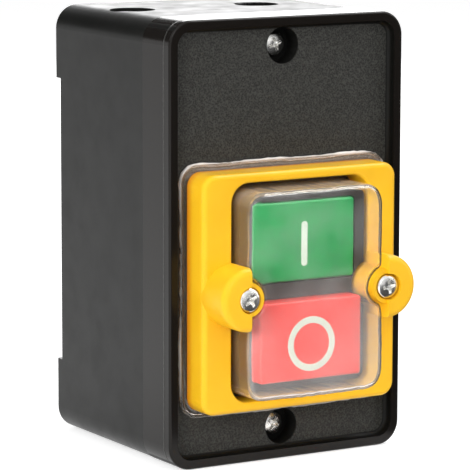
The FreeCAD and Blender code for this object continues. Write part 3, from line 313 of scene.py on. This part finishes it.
def film_haze_and_painted_light(tree, at):
    """How milky the film is and in which tint, with painted light in it: a front whiter low down, walls
    lighter to the right, lighter top and bottom walls, the bezel's orange reflected on the left wall, a
    lighter top to the flange and a highlight along its edge.
    """
    place = split(tree, at)
    cloud = remap(tree, noise_at(tree, at, CLOUD_SCALE, 4.0), CLOUD_RANGE, CLOUD_HAZE)
    # Painted reflection: the front whiter towards the bottom
    low = step_near(tree, place["Z"], panel_z, LOW_REACH, LOW_PAINTED_REFLECTION)
    # Milky walls, painted lighter towards the right
    side = step_near(tree, place["X"], 0, SIDE_REACH, SIDE_HAZE_AND_PAINTED_LIGHT)
    wall = step_near(tree, place["Y"], dome_y, WALL_REACH)
    rim = step_near(tree, place["Y"], flange_y, FLANGE_REACH)
    # Painted light: the flange lighter along its top
    high = step_near(tree, place["Z"], panel_z, TOP_REACH, TOP_PAINTED_LIGHT)
    on_front = calculate(tree, "SUBTRACT", 1.0, wall)
    front = calculate(tree, "MULTIPLY", on_front, calculate(tree, "ADD", cloud, low))
    # Painted light: the top and bottom walls lighter and warmer
    ends = step_near(tree, away_from(tree, place["Z"], panel_z), 0, END_REACH)
    ends = calculate(tree, "MULTIPLY", ends, calculate(tree, "SUBTRACT", 1.0, rim))
    # Painted highlight: a white line along the flange's outer edge
    edge = edge_line(tree, place)
    side = calculate(tree, "MULTIPLY_ADD", ends, END_PAINTED_LIGHT, side)
    level = calculate(tree, "MULTIPLY_ADD", wall, side, front)
    level = calculate(tree, "MULTIPLY_ADD", rim, high, level)
    level = calculate(tree, "MULTIPLY_ADD", edge, EDGE_HIGHLIGHT, level)
    # Painted reflections and light: the bezel's orange on the left wall, warm light on the right, grey-pink
    # on the flange, white on the edge
    from_left = step_near(tree, place["X"], 0, SIDE_REACH)
    tint = blend_colour(tree, from_left, LEFT_REFLECTED_ORANGE, RIGHT_PAINTED_TINT)
    tint = blend_colour(tree, ends, tint, END_PAINTED_TINT)
    tint = blend_colour(tree, rim, tint, FLANGE_REFLECTED_TINT)
    tint = blend_colour(tree, wall, FRONT_TINT, tint)
    return level, blend_colour(tree, edge, tint, EDGE_HIGHLIGHT_TINT)


def mix_shaders(tree, factor, first, second):
    """A shader from the first to the second."""
    made = tree.nodes.new("ShaderNodeMixShader")
    for socket, value in zip(made.inputs, (factor, first, second)):
        tree.links.new(value, socket)
    return made.outputs["Shader"]


def film():
    """Clear soft film with ripples and uneven gloss, a milky haze with painted reflections and highlights in
    it, and light shadows.
    """
    made, tree, shader = new_material("clear_film")
    at = coords(tree)
    shader.inputs["Base Color"].default_value = FILM_COLOUR
    shader.inputs["Transmission Weight"].default_value = 1.0
    shader.inputs["IOR"].default_value = FILM_IOR
    gloss = remap(tree, noise_at(tree, at, UNEVEN_SCALE, 3.0), MIDDLE_OF_NOISE, FILM_ROUGH)
    tree.links.new(gloss, shader.inputs["Roughness"])
    ripples = bump(tree, shader, noise_at(tree, at, RIPPLE_SCALE, 2.0), 0.35, RIPPLE_DEPTH)
    bump(tree, shader, noise_at(tree, at, DIMPLE_SCALE, 3.0), 0.04, DIMPLE_DEPTH, ripples)
    level, tint = film_haze_and_painted_light(tree, at)
    # The haze carries painted reflections and highlights as well as the film's milkiness
    haze = tree.nodes.new("ShaderNodeBsdfDiffuse")
    tree.links.new(tint, haze.inputs["Color"])
    milky = mix_shaders(tree, level, shader.outputs["BSDF"], haze.outputs["BSDF"])
    clear = tree.nodes.new("ShaderNodeBsdfTransparent")
    clear.inputs["Color"].default_value = FILM_SHADOW
    in_shadow = tree.nodes.new("ShaderNodeLightPath").outputs["Is Shadow Ray"]
    final = mix_shaders(tree, in_shadow, milky, clear.outputs["BSDF"])
    tree.links.new(final, node_of(tree, "OUTPUT_MATERIAL").inputs["Surface"])
    return made


MATERIALS = {
    "case": plastic("case_black", (0.0060, 0.0062, 0.0056), (0.0085, 0.0088, 0.0080), (0.30, 0.40),
                    skin=0.06, skin_size=700, mottle=30, specular=0.19),
    "cover": grained_cover(),
    "yellow": bezel_plastic(),
    "switch": plastic("switch_black", (0.030, 0.028, 0.027), (0.045, 0.042, 0.040), (0.45, 0.60),
                      skin=0.2),
    "base": plastic("base_black", (0.030, 0.028, 0.026), (0.050, 0.046, 0.042), (0.50, 0.65), skin=0.2),
    "green": plastic("button_green", (0.009, 0.295, 0.075), (0.014, 0.345, 0.090), (0.36, 0.46),
                     glow=0.05),
    "red": plastic("button_red", (0.88, 0.032, 0.022), (0.96, 0.042, 0.028), (0.36, 0.46), glow=0.05),
    "mark": plastic("mark_white", (0.64, 0.76, 0.65), (0.72, 0.84, 0.73), (0.40, 0.55), skin=0.2,
                    skin_size=1500, mottle=200),
    "rocker": plastic("rocker_ivory", (0.62, 0.60, 0.53), (0.72, 0.70, 0.63), (0.45, 0.60), skin=0.2),
    "carrier": plastic("carrier_brown", (0.05, 0.035, 0.025), (0.07, 0.05, 0.035), (0.45, 0.60),
                       skin=0.2),
    "gasket": plastic("gasket_rubber", (0.012, 0.012, 0.012), (0.02, 0.02, 0.02), (0.70, 0.85), skin=0.4,
                      skin_size=1200, mottle=90),
    "zinc": metal("bright_zinc", (0.78, 0.78, 0.76), (0.98, 0.97, 0.94), (0.12, 0.26), scratch=0.6,
                  streaks=1500),
    "steel": metal("plain_steel", (0.42, 0.42, 0.41), (0.60, 0.60, 0.59), (0.25, 0.42)),
    "brass": metal("stamped_brass", (0.62, 0.42, 0.14), (0.80, 0.58, 0.24), (0.22, 0.40)),
    "copper": metal("contact_copper", (0.66, 0.31, 0.17), (0.82, 0.44, 0.27), (0.25, 0.42)),
    "film": film(),
}

# The material of every solid. Pieces made below stand for the membrane, four screws and the toggle spring

WEARS = {
    "case": ["rear_box"],
    "cover": ["front_cover"],
    "gasket": ["cover_gasket"],
    "yellow": ["bezel"],
    "film": ["membrane"],
    "switch": ["switch_housing"],
    "base": ["switch_base"],
    "green": ["green_button"],
    "red": ["red_button"],
    "rocker": ["rocker"],
    "carrier": ["contact_carrier"],
    "zinc": ["cover_screw_top", "cover_screw_bottom", "bezel_screw_left", "bezel_screw_right",
             "earth_screw"],
    "steel": ["rocker_pin", "toggle_spring", "terminal_screws", "body_screws", "terminal_clamps"],
    "brass": ["earth_plate"],
    "copper": [],
}
for pole in (1, 2, 3):
    WEARS["steel"].append("contact_spring_%d" % pole)
    WEARS["brass"] += ["line_contact_%d" % pole, "load_contact_%d" % pole]
    WEARS["copper"].append("contact_bridge_%d" % pole)


def paint(obj, key):
    """Gives the object one material."""
    obj.data.materials.clear()
    obj.data.materials.append(MATERIALS[key])


for key, names in WEARS.items():
    for name in names:
        for socket in nodes[name].material_slots:
            socket.material = MATERIALS[key]
        if not nodes[name].material_slots:
            nodes[name].data.materials.append(MATERIALS[key])


# Mesh helpers

def mesh_object(name, points, faces, smooth=True):
    """An object from points and faces, its normals turned outwards."""
    mesh = bpy.data.meshes.new(name)
    mesh.from_pydata([tuple(point) for point in points], [], faces)
    mesh.validate()
    shape = bmesh.new()
    shape.from_mesh(mesh)
    bmesh.ops.recalc_face_normals(shape, faces=shape.faces)
    shape.to_mesh(mesh)
    shape.free()
    for face in mesh.polygons:
        face.use_smooth = smooth
    obj = bpy.data.objects.new(name, mesh)
    bpy.context.scene.collection.objects.link(obj)
    return obj


def bands(rows, closed=True):
    """Faces between rows of as many points each, the rows numbered one after the other."""
    count = len(rows[0])
    faces = []
    for row in range(len(rows) - 1):
        for i in range(count if closed else count - 1):
            j = (i + 1) % count
            here, there = row * count, (row + 1) * count
            faces.append((here + i, here + j, there + j, there + i))
    return faces


# Clear membrane: a flange with a beaded edge under the bezel, and a dome notched round both screw bosses

DOME_HALF_X, DOME_HALF_Z = 21.9 * MM, 29.1 * MM
DOME_CORNER, DOME_ROUND = 5.0 * MM, 1.8 * MM
NOTCH_RADIUS, NOTCH_LIMIT = 5.2 * MM, 0.999
FILM_THICK = 0.9 * MM
SIDE_POINTS, NOTCH_POINTS, CORNER_POINTS, END_POINTS = 22, 22, 10, 44
SOFTENINGS = 4

# How far the film sways sideways and lifts to the front, and how close its waves are
FLANGE_SWAY, DOME_SWAY, FLANGE_LIFT, RAGGED = 0.6 * MM, 0.3 * MM, 0.12 * MM, 0.45
SWAY_SCALE, RAGGED_SCALE, LIFT_SCALE, FRONT_SCALE = 95, 620, 70, 48
SWAY_LAYER, RAGGED_LAYER, LIFT_LAYER = 1.7, 3.3, 5.1
FRONT_WAVE, FRONT_BAND, FRONT_GAP, SHOULDER_GAP = 0.22 * MM, 1.2 * MM, 0.12 * MM, 0.1 * MM

# Across the flange: how far in from its edge in millimetres, and its share of the way to the bezel's back
FLANGE_PROFILE = [(0.25, 0.0), (0.05, 0.30), (0.0, 0.62), (0.15, 0.90), (0.45, 1.0), (0.80, 0.86),
                  (1.10, 0.74), (1.45, 0.80), (1.80, 0.92), (2.60, 0.94)]

# The dome's foot, as growth and rise in millimetres, then its wall, its front's edge and its front
FOOT_MARGIN_X, FOOT_MARGIN_Z, FOOT_CORNER, FOOT_SUNK = 2.6 * MM, 1.9 * MM, 1 * MM, 0.1 * MM
FOOT_PROFILE = [(0.6, -0.05), (0.15, 0.4), (0.0, 1.2)]
FOOT_RISE, SHOULDER_DROP = 1.2 * MM, 0.6 * MM
WALL_SHARES = (0.25, 0.5, 0.75, 1.0)
SHOULDER_STEP, CORNER_SHRINK = 15, 0.6
FRONT_INSETS = (1.2 * MM, 2.4 * MM)
FRONT_SHARES = (0.88, 0.76, 0.64, 0.52, 0.40, 0.28, 0.16, 0.06)


def arc(centre, radius, start, end, count):
    """Points of an arc without its last one."""
    turns = [start + (end - start) * i / count for i in range(count)]
    return [(centre[0] + radius * math.cos(turn), centre[1] + radius * math.sin(turn)) for turn in turns]


def run(start, end, count):
    """Points of a straight run without its last one."""
    return [(start[0] + (end[0] - start[0]) * i / count, start[1] + (end[1] - start[1]) * i / count)
            for i in range(count)]


def outline(half_x, half_z, corner, notch):
    """A rounded rectangle seen from the front, anticlockwise from its lower right, notched at both lugs."""
    half = []
    if notch:
        reach = min(notch * NOTCH_LIMIT, abs(lug_x - half_x))
        opened = math.acos(reach / notch)
        mouth = notch * math.sin(opened)
        half += run((half_x, corner - half_z), (half_x, -mouth), SIDE_POINTS)
        half += arc((lug_x, 0), notch, math.pi + opened, math.pi - opened, NOTCH_POINTS)
        half += run((half_x, mouth), (half_x, half_z - corner), SIDE_POINTS)
    else:
        half += run((half_x, corner - half_z), (half_x, half_z - corner), 2 * SIDE_POINTS + NOTCH_POINTS)
    half += arc((half_x - corner, half_z - corner), corner, 0, math.pi / 2, CORNER_POINTS)
    half += run((half_x - corner, half_z), (corner - half_x, half_z), END_POINTS)
    half += arc((corner - half_x, half_z - corner), corner, math.pi / 2, math.pi, CORNER_POINTS)
    points = half + [(-x, -z) for x, z in half]
    total = len(points)
    for _ in range(SOFTENINGS):
        points = [tuple((points[i - 1][side] + 2 * points[i][side] + points[(i + 1) % total][side]) / 4
                        for side in (0, 1)) for i in range(total)]
    return points


def wave_at(x, z, scale, layer):
    """A smooth wave between about minus one and one."""
    return noise.noise(Vector((x * scale, z * scale, layer)))


def film_ring(half_x, half_z, corner, level, notch=0.0, sway=0.0, lift=0.0):
    """One ring of the film, swaying sideways and lifting towards the front as soft film does."""
    ring = []
    for x, z in outline(half_x, half_z, corner, notch):
        outward = Vector((x, z)).normalized()
        wave = sway * wave_at(x, z, SWAY_SCALE, SWAY_LAYER)
        wave += RAGGED * sway * wave_at(x, z, RAGGED_SCALE, RAGGED_LAYER)
        rise = lift * abs(wave_at(x, z, LIFT_SCALE, LIFT_LAYER))
        ring.append(Vector((x + outward.x * wave, level - rise, panel_z + z + outward.y * wave)))
    return ring


def dome_ring(grow, level, corner, notch=NOTCH_RADIUS, sway=0.0):
    """One ring of the dome, larger than its outline or, where it grows by less than nothing, smaller."""
    return film_ring(DOME_HALF_X + grow, DOME_HALF_Z + grow, corner, level, notch, sway)


def flange_rings():
    """The film's flange, from its edge to the dome's foot."""
    flange_x = (film_high.x - film_low.x) / 2
    flange_z = (film_high.z - film_low.z) / 2
    thick = floor_y - flange_y
    rings = []
    for inset, share in FLANGE_PROFILE:
        inward = inset * MM
        rings.append(film_ring(flange_x - inward, flange_z - inward, FLANGE_CORNER - inward / 2,
                               floor_y - thick * share, 0, FLANGE_SWAY, FLANGE_LIFT))
    rings.append(film_ring(DOME_HALF_X + FOOT_MARGIN_X, DOME_HALF_Z + FOOT_MARGIN_Z,
                           DOME_CORNER + FOOT_CORNER, flange_y + FOOT_SUNK))
    for grow, rise in FOOT_PROFILE:
        rings.append(dome_ring(grow * MM, flange_y - rise * MM, DOME_CORNER + grow * MM))
    return rings


def dome_rings():
    """The dome's wall, its rounded edge and its front, down to a small ring about the middle."""
    shoulder_y = dome_y + DOME_ROUND + SHOULDER_DROP
    foot_y = flange_y - FOOT_RISE
    rings = []
    for share in WALL_SHARES:
        rings.append(dome_ring(0, foot_y + (shoulder_y - foot_y) * share, DOME_CORNER, sway=DOME_SWAY))
    for degrees in range(0, 91, SHOULDER_STEP):
        turn = math.radians(degrees)
        inward = DOME_ROUND * (1 - math.cos(turn))
        level = dome_y + DOME_ROUND * (1 - math.sin(turn)) + SHOULDER_GAP
        rings.append(dome_ring(-inward, level, DOME_CORNER - CORNER_SHRINK * inward,
                               NOTCH_RADIUS + inward, DOME_SWAY))
    for inset in FRONT_INSETS:
        inward = DOME_ROUND + inset
        rings.append(dome_ring(-inward, dome_y + FRONT_GAP,
                               DOME_CORNER - DOME_ROUND * CORNER_SHRINK - inset / 2, NOTCH_RADIUS + inward))
    last = rings[-1]
    for share in FRONT_SHARES:
        rings.append([Vector((point.x * share, dome_y + FRONT_GAP, panel_z + (point.z - panel_z) * share))
                      for point in last])
    return rings


def build_membrane():
    """The film as one skin with a thickness, its front gently wavy."""
    rings = flange_rings() + dome_rings()
    points = [point for ring in rings for point in ring]
    for point in points:
        if point.y < dome_y + FRONT_BAND:
            point.y += FRONT_WAVE * noise.noise(point * FRONT_SCALE)
    faces = bands(rings)
    around_middle = len(rings[-1])
    centre = len(points)
    inner = centre - around_middle
    points.append(Vector((0, dome_y + FRONT_GAP, panel_z)))
    faces += [(inner + i, inner + (i + 1) % around_middle, centre) for i in range(around_middle)]
    obj = mesh_object("membrane_film", points, faces)
    wall = obj.modifiers.new("wall", "SOLIDIFY")
    wall.thickness = FILM_THICK
    wall.offset = -1
    return obj


membrane = build_membrane()
paint(membrane, "film")
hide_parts("membrane")
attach(membrane, "case")

# Bright pan-head screws with a cross recess

HEAD_HEIGHT, SHANK_RADIUS, POINT_LENGTH = 2.1 * MM, 1.7 * MM, 1.2 * MM
CROWN_DROP = 0.85 * MM
EDGE_FROM = 0.84
CROSS_REACH, CROSS_DEPTH, CROSS_WIDTH = 2.0 * MM, 1.5 * MM, 0.52 * MM
CROSS_TAPER, CROSS_SLOPE, CORE_RADIUS = 0.10 * MM, 0.22 * MM, 1.05 * MM
CROSS_CURVE, CORE_STEEP = 2.2, 2.2
SEAT_SHARE, POINT_SHARE, POINT_SHORT = 0.985, 0.35, 0.1 * MM
SHARP_ANGLE = math.radians(38)
HEAD_RINGS, AROUND = 40, 112


def head_height(distance, turn, radius):
    """Height of a screw's head over its seat, at a distance from its middle in a direction."""
    part = distance / radius
    height = HEAD_HEIGHT - CROWN_DROP * part * part
    if part > EDGE_FROM:
        over = (part - EDGE_FROM) / (1 - EDGE_FROM)
        height -= HEAD_HEIGHT / 2 * (1 - math.sqrt(max(0.0, 1 - over * over)))
    across = (abs(distance * math.cos(turn)), abs(distance * math.sin(turn)))
    depth = CROSS_DEPTH * min(1.0, max(0.0, 1 - distance / CORE_RADIUS) * CORE_STEEP)
    for along, beside in (across, across[::-1]):
        if along < CROSS_REACH:
            out = along / CROSS_REACH
            side = min(1.0, max(0.0, (CROSS_WIDTH - CROSS_TAPER * out - beside) / CROSS_SLOPE))
            depth = max(depth, CROSS_DEPTH * (1 - out ** CROSS_CURVE) * side)
    return height - depth


def build_screw(label, node_name, turned):
    """A screw in place of a plain one, its cross turned by an angle."""
    low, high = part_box(node_name)
    middle_x, middle_z = (low.x + high.x) / 2, (low.z + high.z) / 2
    radius = (high.x - low.x) / 2
    seat_y = low.y + HEAD_HEIGHT

    def ring(size, level):
        made = []
        for i in range(AROUND):
            turn = 2 * math.pi * i / AROUND
            made.append(Vector((middle_x + size * math.cos(turn), level(turn),
                                middle_z + size * math.sin(turn))))
        return made

    def head_level(size):
        return lambda turn: seat_y - head_height(size, turn - turned, radius)

    rows = []
    for step in range(1, HEAD_RINGS + 1):
        size = radius * step / HEAD_RINGS
        rows.append(ring(size, head_level(size)))
    shank = ((radius * SEAT_SHARE, seat_y), (SHANK_RADIUS, seat_y),
             (SHANK_RADIUS, high.y - POINT_LENGTH), (SHANK_RADIUS * POINT_SHARE, high.y - POINT_SHORT))
    for size, level in shank:
        rows.append(ring(size, lambda turn, level=level: level))
    points = [point for row in rows for point in row]
    faces = bands(rows)
    last = len(points) - AROUND
    faces.append(tuple(range(last, last + AROUND)))
    middle = len(points)
    points.append(Vector((middle_x, seat_y - head_height(0, 0, radius), middle_z)))
    faces += [(middle, (i + 1) % AROUND, i) for i in range(AROUND)]
    screw = mesh_object(label, points, faces)
    sharp_edges = screw.modifiers.new("edges", "EDGE_SPLIT")
    sharp_edges.split_angle = SHARP_ANGLE
    paint(screw, "zinc")
    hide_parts(node_name)
    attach(screw, "case")


for label, node_name, turned in (("screw_cover_top", "cover_screw_top", 0.35),
                                 ("screw_cover_bottom", "cover_screw_bottom", 1.0),
                                 ("screw_bezel_left", "bezel_screw_left", 0.55),
                                 ("screw_bezel_right", "bezel_screw_right", 0.15)):
    build_screw(label, node_name, turned)


def build_toggle_spring():
    """The toggle spring: a steel copy of the solid's coil, in its place."""
    wire = bpy.data.objects.new("toggle_coil", nodes["toggle_spring"].data.copy())
    bpy.context.scene.collection.objects.link(wire)
    paint(wire, "steel")
    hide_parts("toggle_spring")
    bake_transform(wire)


build_toggle_spring()

# I and O marks: white inserts that stand just proud of the buttons' faces

MARK_PROUD, MARK_SOFT, MARK_SUNK = 0.10 * MM, 0.12 * MM, 0.40 * MM
BAR_HALF_WIDTH, BAR_HALF_HEIGHT = 1.0 * MM, 6.3 * MM
CIRCLE_OUTER, CIRCLE_INNER = 7.7 * MM, 5.8 * MM
CIRCLE_POINTS, END_ARC_POINTS = 96, 16
BAR_DROP, CIRCLE_DROP = 0.8 * MM, 1.1 * MM


def circle(radius):
    """A closed circle about the mark's middle."""
    return arc((0, 0), radius, 0, 2 * math.pi, CIRCLE_POINTS)


def bar():
    """An upright bar with round ends."""
    straight = BAR_HALF_HEIGHT - BAR_HALF_WIDTH
    return (arc((0, straight), BAR_HALF_WIDTH, 0, math.pi, END_ARC_POINTS)
            + arc((0, -straight), BAR_HALF_WIDTH, math.pi, 2 * math.pi, END_ARC_POINTS))


def build_mark(name, button, body, drop, outer, inner=None):
    """A mark with softened edges in one closed outline or between two, a little under its button's middle."""
    low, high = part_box(button)
    face_y, middle_z = low.y, (low.z + high.z) / 2 - drop
    count = len(outer)

    def row(points, level, shrink):
        made = []
        for i, (x, z) in enumerate(points):
            before, after = points[i - 1], points[(i + 1) % count]
            outward = Vector((after[1] - before[1], before[0] - after[0])).normalized() * shrink
            made.append(Vector((x - outward.x, level, middle_z + z - outward.y)))
        return made

    sunk_y, top_y = face_y + MARK_SUNK, face_y - MARK_PROUD
    edge_y = top_y + MARK_SOFT / 2
    rows = [row(outer, sunk_y, 0), row(outer, edge_y, 0), row(outer, top_y, MARK_SOFT)]
    if inner:
        rows += [row(inner, top_y, -MARK_SOFT), row(inner, edge_y, 0), row(inner, sunk_y, 0)]
    faces = bands(rows)
    last = (len(rows) - 1) * count
    if inner:
        faces += [(last + i, last + (i + 1) % count, (i + 1) % count, i) for i in range(count)]
    else:
        faces += [tuple(range(last, last + count)), tuple(reversed(range(count)))]
    mark = mesh_object(name, [point for made in rows for point in made], faces, smooth=False)
    paint(mark, "mark")
    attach(mark, body)


build_mark("mark_on", "green_button", "green", BAR_DROP, bar())
build_mark("mark_off", "red_button", "red", CIRCLE_DROP, circle(CIRCLE_OUTER), circle(CIRCLE_INNER))

# The torn edge that the right cable entry's knock-out left behind, along the back of the hole

WEB_DROP, WEB_THICK, WEB_WIDTH = 0.10 * MM, 0.50 * MM, 1.1 * MM
WEB_START, WEB_END, WEB_STEPS = math.radians(22), math.radians(165), 60
TORN_MIDDLE, TORN_LEAST, TORN_TAPER = 0.55, 0.12, 0.35

# Its two waves: how high, how close, and where each is read
TORN_WAVES = ((0.9, 9.0, (0.3, 2.0)), (0.5, 31.0, (4.1, 0.7)))


def torn_reach(part):
    """How far the torn edge stands into the hole, a part of the way along it."""
    torn = TORN_MIDDLE
    for height, scale, place in TORN_WAVES:
        torn += height * noise.noise(Vector((part * scale, *place)))
    return WEB_WIDTH * min(1.0, max(TORN_LEAST, torn)) * math.sin(math.pi * part) ** TORN_TAPER


def build_web():
    """A thin ragged sector of four rows of points, closed at both ends."""
    entry = mounts["cable_entry_right"]
    middle_x, middle_y = entry["pos_m"][:2]
    radius = entry["dims"]["r_mm"] * MM
    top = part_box("rear_box")[1].z - WEB_DROP
    foot = top - WEB_THICK
    rows = [[], [], [], []]
    for step in range(WEB_STEPS + 1):
        part = step / WEB_STEPS
        turn = WEB_START + (WEB_END - WEB_START) * part
        edge = radius - torn_reach(part)
        for row, (size, level) in zip(rows, ((radius, top), (edge, top), (edge, foot), (radius, foot))):
            row.append(Vector((middle_x + size * math.cos(turn), middle_y + size * math.sin(turn), level)))
    rows.append(rows[0])
    count = WEB_STEPS + 1
    faces = [tuple(index % (4 * count) for index in face) for face in bands(rows, closed=False)]
    faces += [(0, count, 2 * count, 3 * count), (4 * count - 1, 3 * count - 1, 2 * count - 1, count - 1)]
    web = mesh_object("entry_web", [point for row in rows[:4] for point in row], faces, smooth=False)
    paint(web, "case")
    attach(web, "case")


build_web()

# Floor and world: white where they are seen, directly or in gloss and through the film

FLOOR_HALF, FLOOR_Z = 4.0, -0.2 * MM
FLOOR_COLOUR = (0.80, 0.80, 0.80, 1)
FLOOR_SEEN, WORLD_SEEN, WORLD_LIGHT = 0.62, 1.0, 0.42


def seen(tree):
    """One where a ray comes from the camera, a reflection or through something clear."""
    path = tree.nodes.new("ShaderNodeLightPath").outputs
    direct = calculate(tree, "MAXIMUM", path["Is Camera Ray"], path["Is Glossy Ray"])
    return calculate(tree, "MAXIMUM", direct, path["Is Transmission Ray"])


def build_floor():
    """A wide white floor that keeps the object's shadow."""
    mesh = bpy.data.meshes.new("floor")
    corners = ((-1, -1), (1, -1), (1, 1), (-1, 1))
    mesh.from_pydata([(FLOOR_HALF * x, FLOOR_HALF * y, FLOOR_Z) for x, y in corners], [], [(0, 1, 2, 3)])
    floor = bpy.data.objects.new("floor", mesh)
    bpy.context.scene.collection.objects.link(floor)
    pale = bpy.data.materials.new("floor_white")
    pale.use_nodes = True
    tree = pale.node_tree
    tree.nodes.clear()
    out = tree.nodes.new("ShaderNodeOutputMaterial")
    plain = tree.nodes.new("ShaderNodeBsdfDiffuse")
    plain.inputs["Color"].default_value = FLOOR_COLOUR
    light = tree.nodes.new("ShaderNodeEmission")
    light.inputs["Color"].default_value = WHITE
    tree.links.new(calculate(tree, "MULTIPLY", seen(tree), FLOOR_SEEN), light.inputs["Strength"])
    both = tree.nodes.new("ShaderNodeAddShader")
    tree.links.new(plain.outputs["BSDF"], both.inputs[0])
    tree.links.new(light.outputs["Emission"], both.inputs[1])
    tree.links.new(both.outputs["Shader"], out.inputs["Surface"])
    mesh.materials.append(pale)


def build_world():
    """A white surround that lights the object less than it shows."""
    world = bpy.data.worlds.new("studio")
    bpy.context.scene.world = world
    world.use_nodes = True
    tree = world.node_tree
    tree.nodes.clear()
    out = tree.nodes.new("ShaderNodeOutputWorld")
    back = tree.nodes.new("ShaderNodeBackground")
    back.inputs["Color"].default_value = WHITE
    tree.links.new(remap(tree, seen(tree), (0, 1), (WORLD_LIGHT, WORLD_SEEN)), back.inputs["Strength"])
    tree.links.new(back.outputs["Background"], out.inputs["Surface"])


build_floor()
build_world()

# Soft lamps, and black cards that shape the reflections; azimuth 0 is behind the object, 90 to its right

OBJECT_MIDDLE = Vector((0, 0, 60 * MM))


def around(azimuth, distance, height):
    """A point round the object."""
    turn = math.radians(azimuth)
    return Vector((distance * math.sin(turn), distance * math.cos(turn), height))


def lamp(name, place, width, height, power, in_gloss=True):
    """A soft rectangular lamp turned to the object."""
    data = bpy.data.lights.new(name, "AREA")
    data.energy = power
    data.shape = "RECTANGLE"
    data.size = width
    data.size_y = height
    made = bpy.data.objects.new(name, data)
    made.location = place
    made.rotation_euler = (OBJECT_MIDDLE - place).to_track_quat("-Z", "Y").to_euler()
    made.visible_camera = False
    made.visible_glossy = in_gloss
    bpy.context.scene.collection.objects.link(made)


lamp("key_left", around(239, 0.75, 0.30), 0.34, 0.34, 3.9, in_gloss=False)
lamp("top_right", around(106, 0.48, 0.85), 0.50, 0.30, 4.2)
lamp("front_soft", around(205, 1.2, 0.75), 0.60, 0.40, 1.9)
lamp("fill_right", around(120, 1.10, 0.35), 0.60, 0.60, 1.8)
lamp("back_strip", around(31, 1.09, 0.30), 1.00, 0.36, 3.4)

CARD_DISTANCE, CARD_TOP = 0.80, 0.35
CARD_NEAR, CARD_FAR, CARD_LIFT, CARD_STEP = 0.055, 1.5, 0.4 * MM, 12
CARD_BLACK = (0.01, 0.01, 0.01, 1)
card_black = bpy.data.materials.new("card_black")
card_black.use_nodes = True
card_black.node_tree.nodes["Principled BSDF"].inputs["Base Color"].default_value = CARD_BLACK


def card(name, corners):
    """A black card that shows only in reflections."""
    mesh = bpy.data.meshes.new(name)
    mesh.from_pydata([tuple(corner) for corner in corners], [], [tuple(range(len(corners)))])
    mesh.materials.append(card_black)
    board = bpy.data.objects.new(name, mesh)
    bpy.context.scene.collection.objects.link(board)
    board.visible_camera = board.visible_diffuse = board.visible_shadow = False


def standing_card(name, start, end, bottom, top):
    """An upright card between two azimuths and two heights."""
    card(name, [around(start, CARD_DISTANCE, bottom), around(end, CARD_DISTANCE, bottom),
                around(end, CARD_DISTANCE, top), around(start, CARD_DISTANCE, top)])


def lying_card(name, start, end):
    """A ring sector just over the floor."""
    turns = range(start, end + 1, CARD_STEP)
    inner = [around(turn, CARD_NEAR, CARD_LIFT) for turn in turns]
    outer = [around(turn, CARD_FAR, CARD_LIFT) for turn in turns]
    card(name, inner + outer[::-1])


standing_card("card_right", 52, 108, 0, CARD_TOP)
standing_card("card_front", 120, 172, 0, 0.26)
standing_card("card_left", 262, 300, 0, CARD_TOP)
standing_card("card_back_left", -50, 0, 0.17, 1.60)
standing_card("card_back", 0, 22, 0.40, 1.60)
lying_card("card_floor_right", 52, 172)
lying_card("card_floor_left", 172, 196)

# Camera, where the photograph was taken from

YAW, PITCH, ROLL = math.radians(30.933), math.radians(-8.819), math.radians(0.141)
FOCAL_PIXELS, IMAGE_PIXELS, SENSOR_MM = 3095.81, 470.0, 36.0
CAMERA_PLACE = Vector((-0.452523, -0.751003, 0.196363))
CLIP_START, CLIP_END = 0.05, 20

forward = Vector((math.sin(YAW) * math.cos(PITCH), math.cos(YAW) * math.cos(PITCH), math.sin(PITCH)))
level_right = Vector((math.cos(YAW), -math.sin(YAW), 0))
level_up = level_right.cross(forward)
right = level_right * math.cos(ROLL) + level_up * math.sin(ROLL)
up = level_up * math.cos(ROLL) - level_right * math.sin(ROLL)
lens = bpy.data.cameras.new("camera")
lens.sensor_width = SENSOR_MM
lens.lens = FOCAL_PIXELS * SENSOR_MM / IMAGE_PIXELS
lens.clip_start, lens.clip_end = CLIP_START, CLIP_END
camera = bpy.data.objects.new("camera", lens)
pose = Matrix((right, up, -forward)).transposed().to_4x4()
pose.translation = CAMERA_PLACE
camera.matrix_world = pose
bpy.context.scene.collection.objects.link(camera)
bpy.context.scene.camera = camera
bpy.context.scene.view_settings.view_transform = "Standard"
